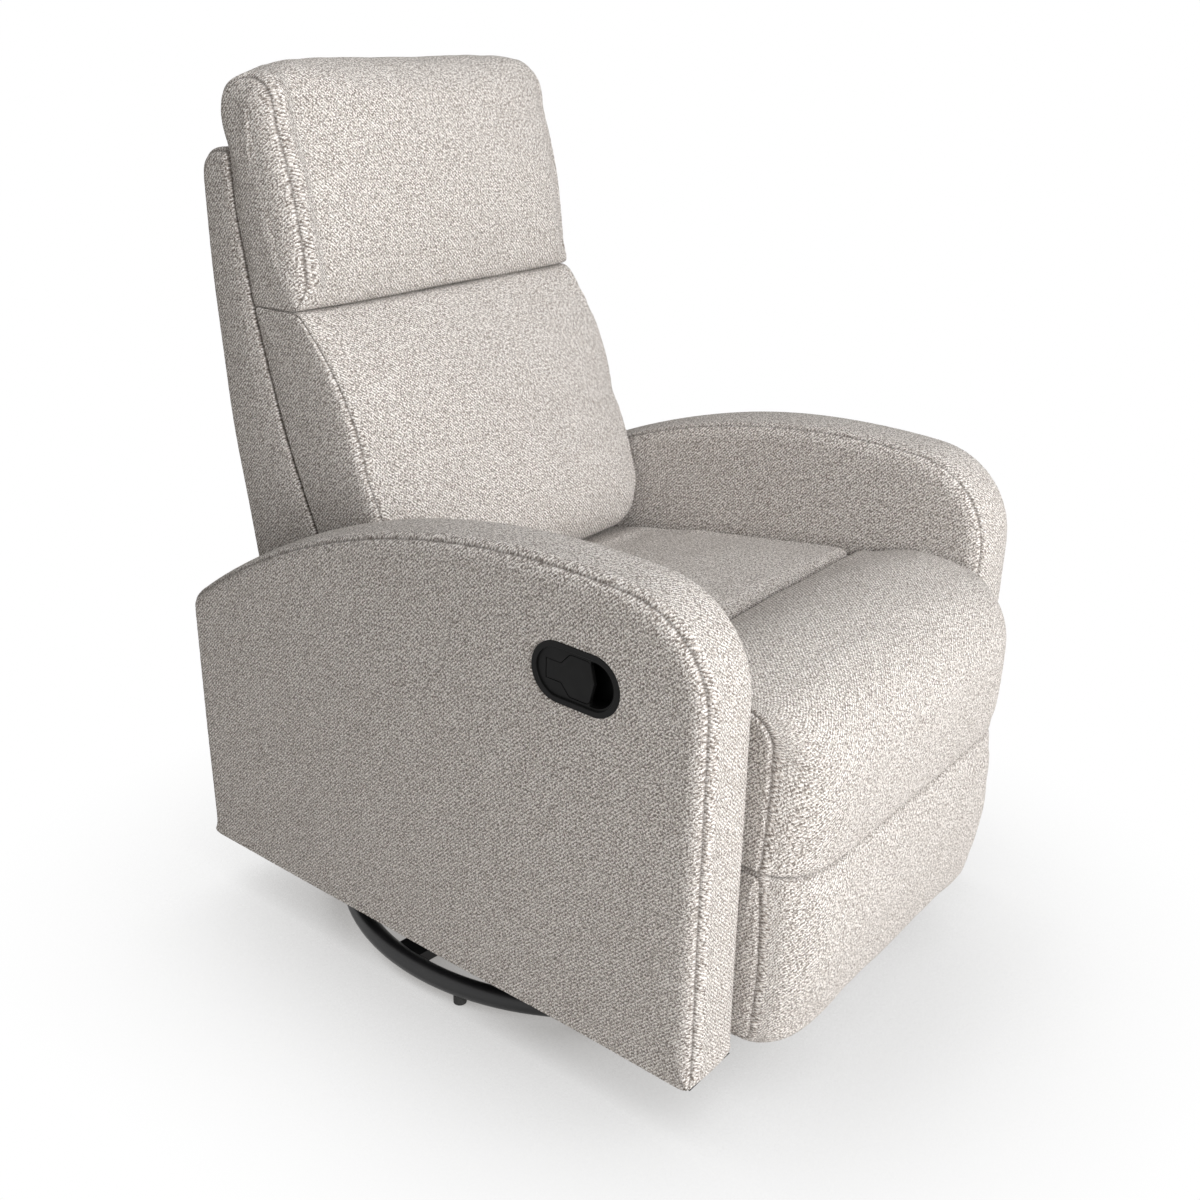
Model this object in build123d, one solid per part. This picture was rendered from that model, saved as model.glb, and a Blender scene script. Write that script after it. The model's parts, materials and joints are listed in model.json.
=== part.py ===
from build123d import *
import os
from math import acos, atan2, cos, degrees, hypot, pi, radians, sin, sqrt

# Swivel recliner in millimetres: Z up, the sitter faces -Y, the release handle is on the -X arm.

# Clearances
pad_gap = 0.3  # between upholstery and the frame in it
pin_play = 0.1  # radial play of a pin or bolt in its hole
tight_play = 0.05  # radial play of a nut on its thread or a pin in its seat
side_gap = 4  # between a moving cushion and the arm beside it
layer_gap = 1  # between two flat links side by side
seam_gap = 0.5  # from a cushion's face to what it meets
weld_gap = 0.2  # between the ring's tube and what is welded to it
chassis_gap = 2  # between an arm and the chassis plate beside it
board_room = 12  # between the footrest board and the bolster behind it
nut_gap = 0.5  # under the king bolt's nut
past = 1  # how far a cut runs beyond the face that it opens

# Arms
overall_width = 670
arm_thickness = 86
arm_bottom = 72
arm_top = 613
arm_front = -376
arm_rear = 411
arm_front_radius = 110
arm_top_radius = 1000
arm_apex = -185
arm_rear_radius = 22
arm_least_radius = 4
arm_edge_radius = 12
arm_pad = 14
arm_web = 15
arm_rim = 18
trim_inset = 6
trim_height = 2.5
apron_front = 376
apron_thickness = 18
apron_bottom = 78
apron_top = 300

# Swivel base
swivel_y = 35
ring_radius = 320
tube_radius = 12.5
foot_height = 10
foot_radius = 8
foot_count = 4
foot_turn = 11
foot_sink = 4
cross_turn = -5.5
cross_width = 38
cross_height = 16
plate_side = 200
plate_thickness = 6
plate_corner = 15
plate_spacing = 4
ball_radius = 4
ball_circle_radius = 72
ball_count = 24
ball_play = 0.1
bolt_radius = 6
bolt_head_radius = 11
bolt_head_height = 8
bolt_tail = 14
nut_height = 10
screw_radius = 3
screw_circle_radius = 88
screw_depth = 10
screw_head_radius = 6
screw_head_height = 2.5

# Chassis rails and side plates
rail_width = 30
rail_height = 25
rail_wall = 2.5
rail_spread = 82
rail_bolt_inset = 25
plate_sheet = 3
chassis_plate_half = 170
chassis_plate_top = 126
ledge_width = 40
arm_bolt_y = 150
arm_bolt_z = 95
arm_bolt_radius = 4
arm_bolt_head_radius = 8
arm_bolt_head_height = 3.5
sleeve_radius = 7

# Swing links that carry the seat
swing_length = 110
swing_lean = 18
swing_pivot_z = 110
swing_front_y = -110
swing_rear_y = 110
link_width = 20
link_sheet = 4
pivot_radius = 4
rivet_head_radius = 7
rivet_head_height = 2

# Seat carriage
seat_plate_sheet = 4
seat_plate_lip = 2
seat_plate_nib = 18
seat_plate_sole = 16
seat_plate_slope = 40
seat_plate_corner = 6
frame_clear = 3
rail_top = 358
seat_rail_height = 40
seat_rail_width = 27
seat_front = -345
seat_rear = 175
spacer_front = 25
spacer_rear = 75
spacer_radius = 9
spring_count = 5
spring_pitch = 75
spring_wave = 40
spring_half = 22
spring_bend = 17.5
spring_wire = 2
clip_side = 16
clip_height = 6
clip_shift = 2
clip_play = 0.2

# Rear seat pad, with heights at its front, middle and rear
crease_y = -205
seat_pad_rear = 220
seat_front_top = 468
seat_middle_top = 441
seat_rear_top = 396
seat_roll = 20
seat_crown = 14

# Front bolster: (y, z) of its crest, points measured from its rear face and the rounding of its front
bolster_crest = (-310, 493)
bolster_shoulder = (30, 477)
bolster_roll = (7, 465)
bolster_edge = 450
bolster_round = 78
bolster_brow = 487
bolster_drop = 8

# Footrest pads
pad_proud = 5
pad_draw = 50
seam_z = 297
seam_half = 1
seam_tuck = 6
foot_round = 10
pad_foot = 76
toe_height = 28
toe_fold = 8
toe_depth = 0.2
toe_fold_depth = 0.33
sole_depth = 0.6

# Footrest board and its linkage
hinge_y = -436
hinge_z = 455
board_rear = -363
board_thickness = 12
board_bottom = 100
board_top = 440
link_root = (-236, 340)
link_tip = (-348, 244)
bracket_foot = 25
bracket_half = 30
bracket_ear = 14
bracket_reach = 12

# Back shell, frame and hinge brackets, as (y, z) points of the side view
back_pivot = (190, 300)
back_pivot_radius = 6
back_pivot_shoulder = 5
back_pivot_tail = 6
shell_rear = ((350, 285), (416, 610), (432, 947))
shell_front = ((267, 512), (342, 722), (379, 947))
shell_heel = ((245, 350), (245, 430))
shell_round = 30
shell_edge = 14
shell_wall = 12
shell_mouth = 60
frame_inset = 7
frame_panel = 18
frame_setback = 6
frame_heel = 40
frame_rail_deep = 20
frame_rail_tall = 60
frame_rail_setback = 20
frame_rail_heights = (400, 640, 880)
strap_heights = (480, 560, 720, 800)
strap_tall = 50
strap_sheet = 2
strap_setback = 4.5
bracket_tip = (300, 440)
bracket_width = 30

# Back cushions, as (y, z) points of their middle section
lumbar_root = (222, 399)
lumbar_sole = (158, 421)
lumbar_chin = (134, 444)
lumbar_nose = (128, 485)
lumbar_belly = (148, 545)
lumbar_waist = (174, 602)
lumbar_chest = (206, 690)
lumbar_brow = (268, 770)
head_tuck = (278, 774)
head_jowl = (267, 784)
head_chin = (263, 806)
head_cheek = (274, 890)
head_brow = (300, 990)
head_top = (340, 1046)
head_crown = (386, 994)
cushion_places = (-1, -0.94, -0.84, -0.5, 0, 0.5, 0.84, 0.94, 1)
crown_power = 4
edge_power = 12
cushion_draw = 10
brow_draw = 14
corner_drop = 9

# Release handle, drawn in the plane of the arm's outer face
handle_y = -216
handle_z = 498
handle_tilt = 1
cup_length = 112
cup_width = 67
cup_lip = 4
cup_rim = 1.5
cup_wall = 2.5
cup_depth = 26
cup_proud = 1
lip_round = 0.9
block_inset = 14
pocket_inset = 9
pocket_mouth = 18
pocket_back = 3
paddle_play = 0.6
paddle_axis = -36
paddle_boss = 5.5
paddle_sheet = 5
paddle_top = -1.5
paddle_edge = 0.8
stem_half = 10.5
paddle_neck = -19
paddle_shoulder = -8
paddle_half = 23
paddle_brow = 17
paddle_nose = 22.5
paddle_round = 5
handle_pin_radius = 2
handle_pin_seat = 3
coil_radius = 3.2
coil_wire = 0.7
coil_pitch = 2
coil_turns = 3
coil_gap = 1.5
coil_room = 0.4

# Derived sizes
half_width = overall_width / 2
inner_half = half_width - arm_thickness
cushion_half = inner_half - side_gap
ring_z = foot_height + tube_radius
cross_top = ring_z + cross_height / 2
lower_top = cross_top + plate_thickness
upper_bottom = lower_top + plate_spacing
upper_top = upper_bottom + plate_thickness
ball_z = (lower_top + upper_bottom) / 2
rail_z = upper_top + rail_height
chassis_out = inner_half - chassis_gap
chassis_in = chassis_out - plate_sheet
swing_out = chassis_in - layer_gap / 2
swing_in = swing_out - link_sheet
seat_plate_out = swing_in - layer_gap / 2
seat_plate_in = seat_plate_out - seat_plate_sheet
link_a_out = seat_plate_in - layer_gap
link_a_in = link_a_out - link_sheet
link_b_out = link_a_in - layer_gap
link_b_in = link_b_out - link_sheet
seat_frame_half = link_b_in - frame_clear
swing_rise = swing_length * cos(radians(swing_lean))
swing_shift = swing_length * sin(radians(swing_lean))
link_knee = (link_root[0] + link_tip[0] - hinge_y, link_root[1] + link_tip[1] - hinge_z)
pad_bottom = rail_top + clip_height + seam_gap
board_half = seat_frame_half
board_front = board_rear - board_thickness
frame_half = cushion_half - shell_wall - frame_inset
paddle_axis_depth = paddle_top - paddle_boss
handle_plane = Plane(
    origin=(-half_width, handle_y, handle_z),
    x_dir=(0, -cos(radians(handle_tilt)), -sin(radians(handle_tilt))),
    z_dir=(-1, 0, 0),
)


def save(name, *pieces):
    """Writes the solids of one node."""
    solids = [solid for piece in pieces for solid in piece.solids()]
    export_step(solids[0] if len(solids) == 1 else Compound(solids), f"parts/{name}.step")


def panel(outline, x_low, x_high):
    """Extrudes an outline drawn as (y, z) from one x to another."""
    return extrude(Plane.YZ.offset(x_low) * outline, amount=x_high - x_low, dir=(1, 0, 0))


def pin(point, radius, x_low, x_high):
    """A round pin along X through a (y, z) point."""
    return panel(Pos(*point) * Circle(radius), x_low, x_high)


def bar(start, end, x_low, x_high, holes=(), hole_radius=pivot_radius + pin_play, width=link_width):
    """A flat link with round ends between two (y, z) points, with its pivot holes."""
    length = hypot(end[0] - start[0], end[1] - start[1])
    turn = degrees(atan2(end[1] - start[1], end[0] - start[0]))
    outline = Pos(*middle(start, end)) * Rot(0, 0, turn) * SlotCenterToCenter(length, width)
    for point in holes:
        outline -= Pos(*point) * Circle(hole_radius)
    return panel(outline, x_low, x_high)


def middle(start, end):
    """The point halfway between two points."""
    return ((start[0] + end[0]) / 2, (start[1] + end[1]) / 2)


def shifted(point, y, z=0.0):
    """A (y, z) point moved by an amount in each direction."""
    return (point[0] + y, point[1] + z)


def post(x, y, z_low, z_high, radius):
    """A round post along Z."""
    return Pos(x, y, (z_low + z_high) / 2) * Cylinder(radius, z_high - z_low)


def box(x, y, z):
    """A box from three (low, high) pairs."""
    centre = [(low + high) / 2 for low, high in (x, y, z)]
    return Pos(*centre) * Box(x[1] - x[0], y[1] - y[0], z[1] - z[0])


def mirrored(shape):
    """The same shape on the other side of the chair."""
    return mirror(shape, about=Plane.YZ)


def both_sides(shapes):
    """Some shapes and their mirror images."""
    return [*shapes, *[mirrored(shape) for shape in shapes]]


def polar(radius, turn):
    """A point on a circle about the swivel axis."""
    return (radius * cos(radians(turn)), swivel_y + radius * sin(radians(turn)))


def arc_y(points, z):
    """The y at a height on the arc through three (y, z) points, on its rear side."""
    (ay, az), (by, bz), (cy, cz) = points
    d = 2 * (ay * (bz - cz) + by * (cz - az) + cy * (az - bz))
    a, b, c = ay**2 + az**2, by**2 + bz**2, cy**2 + cz**2
    centre_y = (a * (bz - cz) + b * (cz - az) + c * (az - bz)) / d
    centre_z = (a * (cy - by) + b * (ay - cy) + c * (by - ay)) / d
    radius = hypot(ay - centre_y, az - centre_z)
    return centre_y + sqrt(radius**2 - (z - centre_z) ** 2)


# Swivel base


def make_base():
    """Ring, cross, feet, lower bearing plate, balls, king bolt and screws."""
    centre = Pos(0, swivel_y, ring_z)
    save("base_ring", centre * Torus(ring_radius, tube_radius))
    keep_off = centre * Torus(ring_radius, tube_radius + weld_gap)
    bolt_hole = post(0, swivel_y, 0, rail_z, bolt_radius + pin_play)
    arm = Box(2 * ring_radius, cross_width, cross_height)
    cross = centre * Rot(0, 0, cross_turn) * (arm + Rot(0, 0, 90) * arm)
    cross -= keep_off
    cross = cross & (centre * Cylinder(ring_radius, 2 * cross_height))
    cross -= bolt_hole
    lower = bearing_plate(cross_top) - bolt_hole
    screws = []
    for n in range(4):
        x, y = polar(screw_circle_radius, cross_turn + 90 * n)
        hole = post(x, y, cross_top - screw_depth - pin_play, lower_top + past, screw_radius + pin_play)
        cross -= hole
        lower -= hole
        screws.append(screw(x, y, cross_top - screw_depth, lower_top))
    save("base_cross", cross)
    save("swivel_lower_plate", lower)
    save("base_screws", *screws)
    feet = []
    for n in range(foot_count):
        x, y = polar(ring_radius, foot_turn + 360 / foot_count * n)
        feet.append(post(x, y, 0, ring_z - foot_sink, foot_radius) - keep_off)
    save("base_feet", *feet)
    balls = []
    for n in range(ball_count):
        x, y = polar(ball_circle_radius, 360 / ball_count * n)
        balls.append(Pos(x, y, ball_z) * Sphere(ball_radius))
    save("swivel_balls", *balls)
    save("swivel_bolt", *king_bolt())


def bearing_plate(z):
    """A square plate with round corners and the track that the balls run in."""
    half = plate_side / 2
    plate = box((-half, half), (-half, half), (z, z + plate_thickness))
    plate = Pos(0, swivel_y, 0) * fillet(plate.edges().filter_by(Axis.Z), plate_corner)
    return plate - Pos(0, swivel_y, ball_z) * Torus(ball_circle_radius, ball_radius + ball_play)


def screw(x, y, z_low, z_seat):
    """A screw along Z with its head on a seat."""
    head = post(x, y, z_seat, z_seat + screw_head_height, screw_head_radius)
    return post(x, y, z_low, z_seat, screw_radius) + head


def king_bolt():
    """The bolt that holds the chair on its base, and its nut."""
    bottom = cross_top - cross_height
    hexagon = RegularPolygon(bolt_head_radius, 6)
    head = Pos(0, swivel_y, bottom - bolt_head_height) * extrude(hexagon, bolt_head_height)
    shank = post(0, swivel_y, bottom, upper_top + bolt_tail, bolt_radius)
    nut = Pos(0, swivel_y, upper_top + nut_gap) * extrude(hexagon, nut_height)
    nut -= post(0, swivel_y, 0, upper_top + bolt_tail, bolt_radius + tight_play)
    return head + shank, nut


# Chassis that turns on the base


def make_chassis():
    """Upper bearing plate, cross rails, side plates and their fixings."""
    upper = bearing_plate(upper_bottom) - post(0, swivel_y, 0, rail_z, bolt_radius + pin_play)
    side = chassis_plate()
    bolts = []
    for name, y in (("front", swivel_y - rail_spread), ("rear", swivel_y + rail_spread)):
        rail = cross_rail(y)
        x = plate_side / 2 - rail_bolt_inset
        hole = post(x, y, upper_bottom - past, rail_z + past, screw_radius + pin_play)
        bolt = screw(x, y, upper_bottom + pin_play, rail_z)
        upper -= hole + mirrored(hole)
        rail -= hole + mirrored(hole)
        bolts += both_sides([bolt])
        x = chassis_in - ledge_width / 2
        seat = rail_z + plate_sheet
        hole = post(x, y, rail_z - screw_depth - pin_play, seat + past, screw_radius + pin_play)
        bolt = screw(x, y, rail_z - screw_depth, seat)
        rail -= hole + mirrored(hole)
        side -= hole
        bolts += both_sides([bolt])
        save(f"chassis_rail_{name}", rail)
    save("swivel_upper_plate", upper)
    save("chassis_bolts", *bolts)
    save("chassis_plate_left", side)
    save("chassis_plate_right", mirrored(side))
    base_pins = []
    for y in (swing_front_y, swing_rear_y):
        base_pins.append(pin((y, swing_pivot_z), pivot_radius, swing_in + pin_play, chassis_out))
    save("swing_base_pins", *both_sides(base_pins))
    arm_bolts = []
    web = inner_half + arm_pad + pad_gap
    for y in (-arm_bolt_y, arm_bolt_y):
        point = (y, arm_bolt_z)
        bolt = pin(point, arm_bolt_head_radius, chassis_in - arm_bolt_head_height, chassis_in)
        bolt += pin(point, arm_bolt_radius, chassis_in, web + arm_web)
        arm_bolts.append(bolt + pin(point, sleeve_radius, chassis_out, web))
    save("arm_bolts", *both_sides(arm_bolts))


def cross_rail(y):
    """A square tube across the chassis."""
    hollow = Rectangle(rail_width - 2 * rail_wall, rail_height - 2 * rail_wall)
    outline = Rectangle(rail_width, rail_height) - hollow
    return panel(Pos(y, upper_top + rail_height / 2) * outline, -chassis_in, chassis_in)


def chassis_plate():
    """The left side plate: a ledge on the rails and an upright with the swing pivots."""
    y = (-chassis_plate_half, chassis_plate_half)
    plate = box((chassis_in - ledge_width, chassis_out), y, (rail_z, rail_z + plate_sheet))
    plate += box((chassis_in, chassis_out), y, (rail_z, chassis_plate_top))
    for y in (swing_front_y, swing_rear_y):
        plate -= pin((y, swing_pivot_z), pivot_radius + pin_play, 0, half_width)
    for y in (-arm_bolt_y, arm_bolt_y):
        plate -= pin((y, arm_bolt_z), arm_bolt_radius + pin_play, 0, half_width)
    return plate


# Arms


def arm_outline(inset=0.0, below=0.0):
    """The side view of an arm as (y, z), drawn in by an inset and carried on below its bottom."""
    front, rear, bottom = arm_front + inset, arm_rear - inset, arm_bottom - below
    top_centre = (arm_apex, arm_top - arm_top_radius)
    nose_y = arm_front + arm_front_radius
    reach = arm_top_radius - arm_front_radius
    nose_z = top_centre[1] + sqrt(reach**2 - (nose_y - arm_apex) ** 2)
    top_radius, nose_radius = arm_top_radius - inset, arm_front_radius - inset
    rear_z = top_centre[1] + sqrt(top_radius**2 - (rear - arm_apex) ** 2)
    lean = atan2(nose_y - arm_apex, nose_z - top_centre[1])
    fall = atan2(rear - arm_apex, rear_z - top_centre[1])

    def on_nose(turn):
        return (nose_y + nose_radius * sin(turn), nose_z + nose_radius * cos(turn))

    def on_top(turn):
        return (top_centre[0] + top_radius * sin(turn), top_centre[1] + top_radius * cos(turn))

    face = make_face(
        [
            Line((front, bottom), on_nose(-pi / 2)),
            ThreePointArc(on_nose(-pi / 2), on_nose((lean - pi / 2) / 2), on_nose(lean)),
            ThreePointArc(on_nose(lean), on_top((lean + fall) / 2), on_top(fall)),
            Line(on_top(fall), (rear, bottom)),
            Line((rear, bottom), (front, bottom)),
        ]
    )
    corner = face.vertices().sort_by_distance((rear, rear_z, 0))[0]
    return fillet(corner, max(arm_rear_radius - inset, arm_least_radius))


def arm_cover():
    """The padded cover of the left arm, open underneath."""
    block = panel(arm_outline(), inner_half, half_width)
    sides = block.faces().sort_by(Axis.X)
    rims = [edge for face in (sides[0], sides[-1]) for edge in face.edges()]
    rims = [edge for edge in rims if edge.center().Z > arm_bottom + past]
    block = fillet(rims, arm_edge_radius)
    block -= panel(arm_outline(arm_pad, below=past), inner_half + arm_pad, half_width - arm_pad)
    for y in (-arm_bolt_y, arm_bolt_y):
        block -= pin((y, arm_bolt_z), sleeve_radius + pad_gap, 0, inner_half + arm_pad + past)
    return block


def arm_frame():
    """The plywood tray in the left arm: a web on the seat side and a rim around it."""
    inset = arm_pad + pad_gap
    low, high = inner_half + inset, half_width - inset
    tray = panel(arm_outline(inset), low, high)
    tray -= panel(arm_outline(inset + arm_rim, below=-arm_rim), low + arm_web, high + past)
    for y in (-arm_bolt_y, arm_bolt_y):
        tray -= pin((y, arm_bolt_z), arm_bolt_radius + pin_play, 0, low + arm_web + past)
    return tray


def make_arms():
    """Both arms; the right one takes the release handle."""
    cover, frame = arm_cover(), arm_frame()
    trim = box(
        (inner_half + trim_inset, half_width - trim_inset),
        (arm_front + trim_inset, arm_rear - trim_inset),
        (arm_bottom - trim_height, arm_bottom),
    )
    save("arm_cover_left", cover)
    save("arm_frame_left", frame)
    save("arm_trim_left", trim)
    save("arm_trim_right", mirrored(trim))
    lip = on_arm(cup_slot(0, pad_gap), -cup_rim, cup_depth)
    well = on_arm(cup_slot(cup_lip, pad_gap), -arm_pad - past, cup_depth)
    save("arm_cover_right", mirrored(cover) - lip - well)
    web_depth = half_width - (inner_half + arm_pad + pad_gap + arm_web)
    save("arm_frame_right", mirrored(frame) + on_arm(cup_slot(block_inset), -web_depth, -cup_depth))
    apron = box(
        (-inner_half, inner_half), (apron_front, apron_front + apron_thickness), (apron_bottom, apron_top)
    )
    save("rear_apron", apron)


# Release handle


def cup_slot(inset, room=0.0):
    """The long oval of the handle's cup, drawn in by an inset, with some room around it."""
    grow = 2 * (room - inset)
    return SlotOverall(cup_length + grow, cup_width + grow)


def on_arm(outline, low, high):
    """Extrudes an outline drawn on the outer face of the handle's arm; out of the arm is positive."""
    face = handle_plane.offset(low) * outline
    return extrude(face, amount=high - low, dir=handle_plane.z_dir)


def axis_plane(across):
    """A plane square to the paddle's axis, at a distance from the middle of the cup."""
    return Plane(
        origin=handle_plane.from_local_coords((paddle_axis, across, paddle_axis_depth)),
        x_dir=handle_plane.x_dir,
        z_dir=handle_plane.y_dir,
    )


def across_cup(radius, half):
    """A round rod on the paddle's axis, across the cup."""
    return extrude(axis_plane(-half) * Circle(radius), amount=2 * half, dir=handle_plane.y_dir)


def beyond(start):
    """The part of the cup's plane in front of a line across it."""
    length = cup_length / 2 - start
    return Pos(start + length / 2, 0) * Rectangle(length, cup_width)


def paddle_outline():
    """A straight stem and a broad head with round shoulders and a blunt nose."""
    side = [
        (paddle_axis, stem_half),
        (paddle_neck, stem_half),
        (paddle_shoulder, paddle_half),
        (paddle_brow, paddle_half),
        (paddle_nose, 0),
    ]
    other = [(x, -y) for x, y in reversed(side[:-1])]
    face = make_face(Polyline(*side, *other, close=True))
    corners = [corner for corner in face.vertices() if abs(corner.Y) > stem_half + past]
    return fillet(corners, paddle_round)


def make_handle():
    """The cup in the arm, the paddle on its pin and the return spring."""
    lip = on_arm(cup_slot(0) - cup_slot(cup_lip + cup_wall), -cup_rim, cup_proud)
    lip = fillet(lip.edges().group_by(Axis.X)[0], lip_round)
    cup = on_arm(cup_slot(cup_lip), -cup_depth, paddle_top) + lip
    floor, under = cup_wall - cup_depth, paddle_top - paddle_sheet - paddle_play
    well = cup_slot(pocket_inset)
    cup -= on_arm(well & beyond(pocket_mouth), floor, cup_depth)
    cup -= on_arm(well & beyond(pocket_back), floor, under)
    cup -= on_arm(offset(paddle_outline(), paddle_play), under, cup_depth)
    cup -= across_cup(paddle_boss + paddle_play, stem_half + paddle_play)
    coil_length = coil_gap + coil_pitch * coil_turns + 2 * coil_wire
    chamber = axis_plane(stem_half) * Circle(coil_radius + coil_wire + coil_room)
    cup -= extrude(chamber, amount=coil_length, dir=handle_plane.y_dir)
    pin_half = stem_half + coil_length + handle_pin_seat
    cup -= across_cup(handle_pin_radius + tight_play, pin_half + pin_play)
    save("handle_cup", cup)
    save("handle_pin", across_cup(handle_pin_radius, pin_half))
    plate = on_arm(paddle_outline(), paddle_top - paddle_sheet, paddle_top)
    plate = fillet(plate.edges().group_by(Axis.X)[0], paddle_edge)
    paddle = plate + across_cup(paddle_boss, stem_half)
    save("handle_paddle", paddle - across_cup(handle_pin_radius + pin_play, 2 * stem_half))
    save("handle_spring", coil())


def coil():
    """The torsion spring on the paddle's pin."""
    path = Helix(coil_pitch, coil_pitch * coil_turns, coil_radius)
    wire = sweep(Plane(origin=path @ 0, z_dir=path % 0) * Circle(coil_wire), path=path)
    return axis_plane(stem_half + coil_gap) * wire


# Seat carriage


def swing_top(y):
    """The upper pivot of a swing link in the upright position."""
    return (y + swing_shift, swing_pivot_z + swing_rise)


def make_swing_links():
    """Four links that let the seat move forward as the back reclines."""
    for name, y in (("front", swing_front_y), ("rear", swing_rear_y)):
        low, high = (y, swing_pivot_z), swing_top(y)
        link = bar(low, high, swing_in, swing_out, holes=(low, high))
        save(f"swing_links_{name}", *both_sides([link]))


def seat_plate():
    """The left side plate of the seat carriage."""
    low = rail_top - seat_rail_height - seat_plate_lip
    front_top, rear_top = swing_top(swing_front_y), swing_top(swing_rear_y)
    outline = Polyline(
        (seat_front, low),
        (seat_front, rail_top),
        (back_pivot[0] - seat_plate_slope, rail_top),
        shifted(back_pivot, seat_plate_nib, seat_plate_nib / 2),
        shifted(back_pivot, seat_plate_nib, -seat_plate_nib),
        shifted(rear_top, seat_plate_nib, -seat_plate_sole),
        shifted(front_top, -seat_plate_nib, -seat_plate_sole),
        (link_root[0] - seat_plate_nib, low),
        close=True,
    )
    face = make_face(outline)
    face = fillet(face.vertices(), seat_plate_corner)
    for point in (front_top, rear_top, link_root):
        face -= Pos(*point) * Circle(pivot_radius + pin_play)
    face -= Pos(*back_pivot) * Circle(back_pivot_radius + pin_play)
    for point in spacer_points():
        face -= Pos(*point) * Circle(screw_radius + pin_play)
    return panel(face, seat_plate_in, seat_plate_out)


def spacer_points():
    """Where the seat frame is bolted to its side plates."""
    z = rail_top - seat_rail_height / 2
    return ((seat_front + spacer_front, z), (seat_rear - spacer_rear, z))


def make_seat_frame():
    """Side plates, wooden rails, spacers and the seat's pivot pins."""
    plate = seat_plate()
    save("seat_plate_left", plate)
    save("seat_plate_right", mirrored(plate))
    z = (rail_top - seat_rail_height, rail_top)
    inside = seat_frame_half - seat_rail_width
    side = box((inside, seat_frame_half), (seat_front, seat_rear), z)
    spacers = []
    for point in spacer_points():
        side -= pin(point, screw_radius + pin_play, 0, half_width)
        spacer = pin(point, spacer_radius, seat_frame_half, seat_plate_in)
        spacers.append(spacer + pin(point, screw_radius, inside, seat_plate_out))
    front = box((-inside, inside), (seat_front, seat_front + seat_rail_width), z)
    rear = box((-inside, inside), (seat_rear - seat_rail_width, seat_rear), z)
    save("seat_frame", *both_sides([side]), front, rear)
    save("seat_spacers", *both_sides(spacers))
    pins = []
    for y in (swing_front_y, swing_rear_y):
        head = pin(swing_top(y), rivet_head_radius, seat_plate_in - rivet_head_height, seat_plate_in)
        pins.append(head + pin(swing_top(y), pivot_radius, seat_plate_in, swing_out - pin_play))
    save("swing_seat_pins", *both_sides(pins))
    neck = link_a_in - layer_gap / 2
    root = pin(link_root, pivot_radius, neck, seat_plate_out)
    root += pin(link_root, rivet_head_radius, neck - rivet_head_height, neck)
    save("link_root_pins", *both_sides([root]))
    bracket_out = frame_half + link_sheet
    shoulder_radius = back_pivot_radius + back_pivot_shoulder
    shoulder = pin(back_pivot, shoulder_radius, bracket_out + layer_gap / 2, seat_plate_in)
    shoulder += pin(back_pivot, back_pivot_radius, frame_half - back_pivot_tail, seat_plate_out)
    save("back_pivot_pins", *both_sides([shoulder]))


def make_seat_springs():
    """Sinuous springs over the frame, each end held in a clip."""
    first = seat_front + seat_rail_width / 2
    last = seat_rear - seat_rail_width / 2
    count = int((last - first - 2 * spring_wave) / spring_wave)
    points = [(0, first)]
    start = (first + last) / 2 - (count - 1) * spring_wave / 2
    x = spring_half
    for n in range(count):
        y = start + n * spring_wave
        points += [(-x if n else 0, y), (x, y)]
        x = -x
    points[-1] = (0, points[-1][1])
    points.append((0, last))
    path = FilletPolyline(*points, radius=spring_bend)
    section = Plane(origin=path @ 0, z_dir=path % 0) * Circle(spring_wire)
    wire = Pos(0, 0, rail_top + spring_wire) * sweep(section, path=path)
    half = clip_side / 2
    slot = spring_wire + clip_play
    clip = box((-half, half), (-half, half), (rail_top, rail_top + clip_height))
    clip -= box((-slot, slot), (-clip_side, clip_side), (rail_top - past, rail_top + spring_wire + slot))
    wires, clips = [], []
    for n in range(spring_count):
        x = (n - (spring_count - 1) / 2) * spring_pitch
        wires.append(Pos(x, 0, 0) * wire)
        clips += [Pos(x, first + clip_shift, 0) * clip, Pos(x, last - clip_shift, 0) * clip]
    save("seat_springs", *wires)
    save("seat_spring_clips", *clips)


# Cushions


def crowned(profile):
    """Lofts a side profile across the chair; its place runs from the middle, 0, to the sides, 1."""
    sections = []
    for place in cushion_places:
        sections.append(Plane.YZ.offset(place * cushion_half) * profile(abs(place)))
    return loft(sections)


def seat_pad(place):
    """Side profile of the rear seat pad."""
    crown = seat_crown * (1 - place**crown_power)
    front = crease_y + seam_gap
    edge = (front, seat_front_top - seat_roll)
    lean_in = seat_roll * (1 - sqrt(0.5))
    shoulder = (front + seat_roll, seat_front_top + crown / 2)
    rear = (seat_pad_rear, seat_rear_top)
    return make_face(
        [
            Line((front, pad_bottom), edge),
            ThreePointArc(edge, (front + lean_in, seat_front_top - lean_in), shoulder),
            ThreePointArc(shoulder, (0, seat_middle_top + crown), rear),
            Polyline(rear, (seat_pad_rear, pad_bottom), (front, pad_bottom)),
        ]
    )


def pad_front(place):
    """The y of the front face of the bolster and the pads under it, rounded off at the sides."""
    return hinge_y - pad_proud + pad_draw * place**edge_power


def front_radius(place):
    """The large rounding from the top of the bolster to its front, half as large at the sides."""
    return bolster_round * (1 - place**edge_power / 2)


def bolster_arc(place, turn):
    """A point of that rounding, by its turn from upright."""
    radius = front_radius(place)
    foot = bolster_brow - bolster_drop * place**crown_power - radius
    return (pad_front(place) + radius * (1 - sin(turn)), foot + radius * cos(turn))


def hinge_turn(place, z):
    """How far round that rounding a height lies."""
    foot = bolster_arc(place, pi / 2)[1]
    return acos((z - foot) / front_radius(place))


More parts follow.
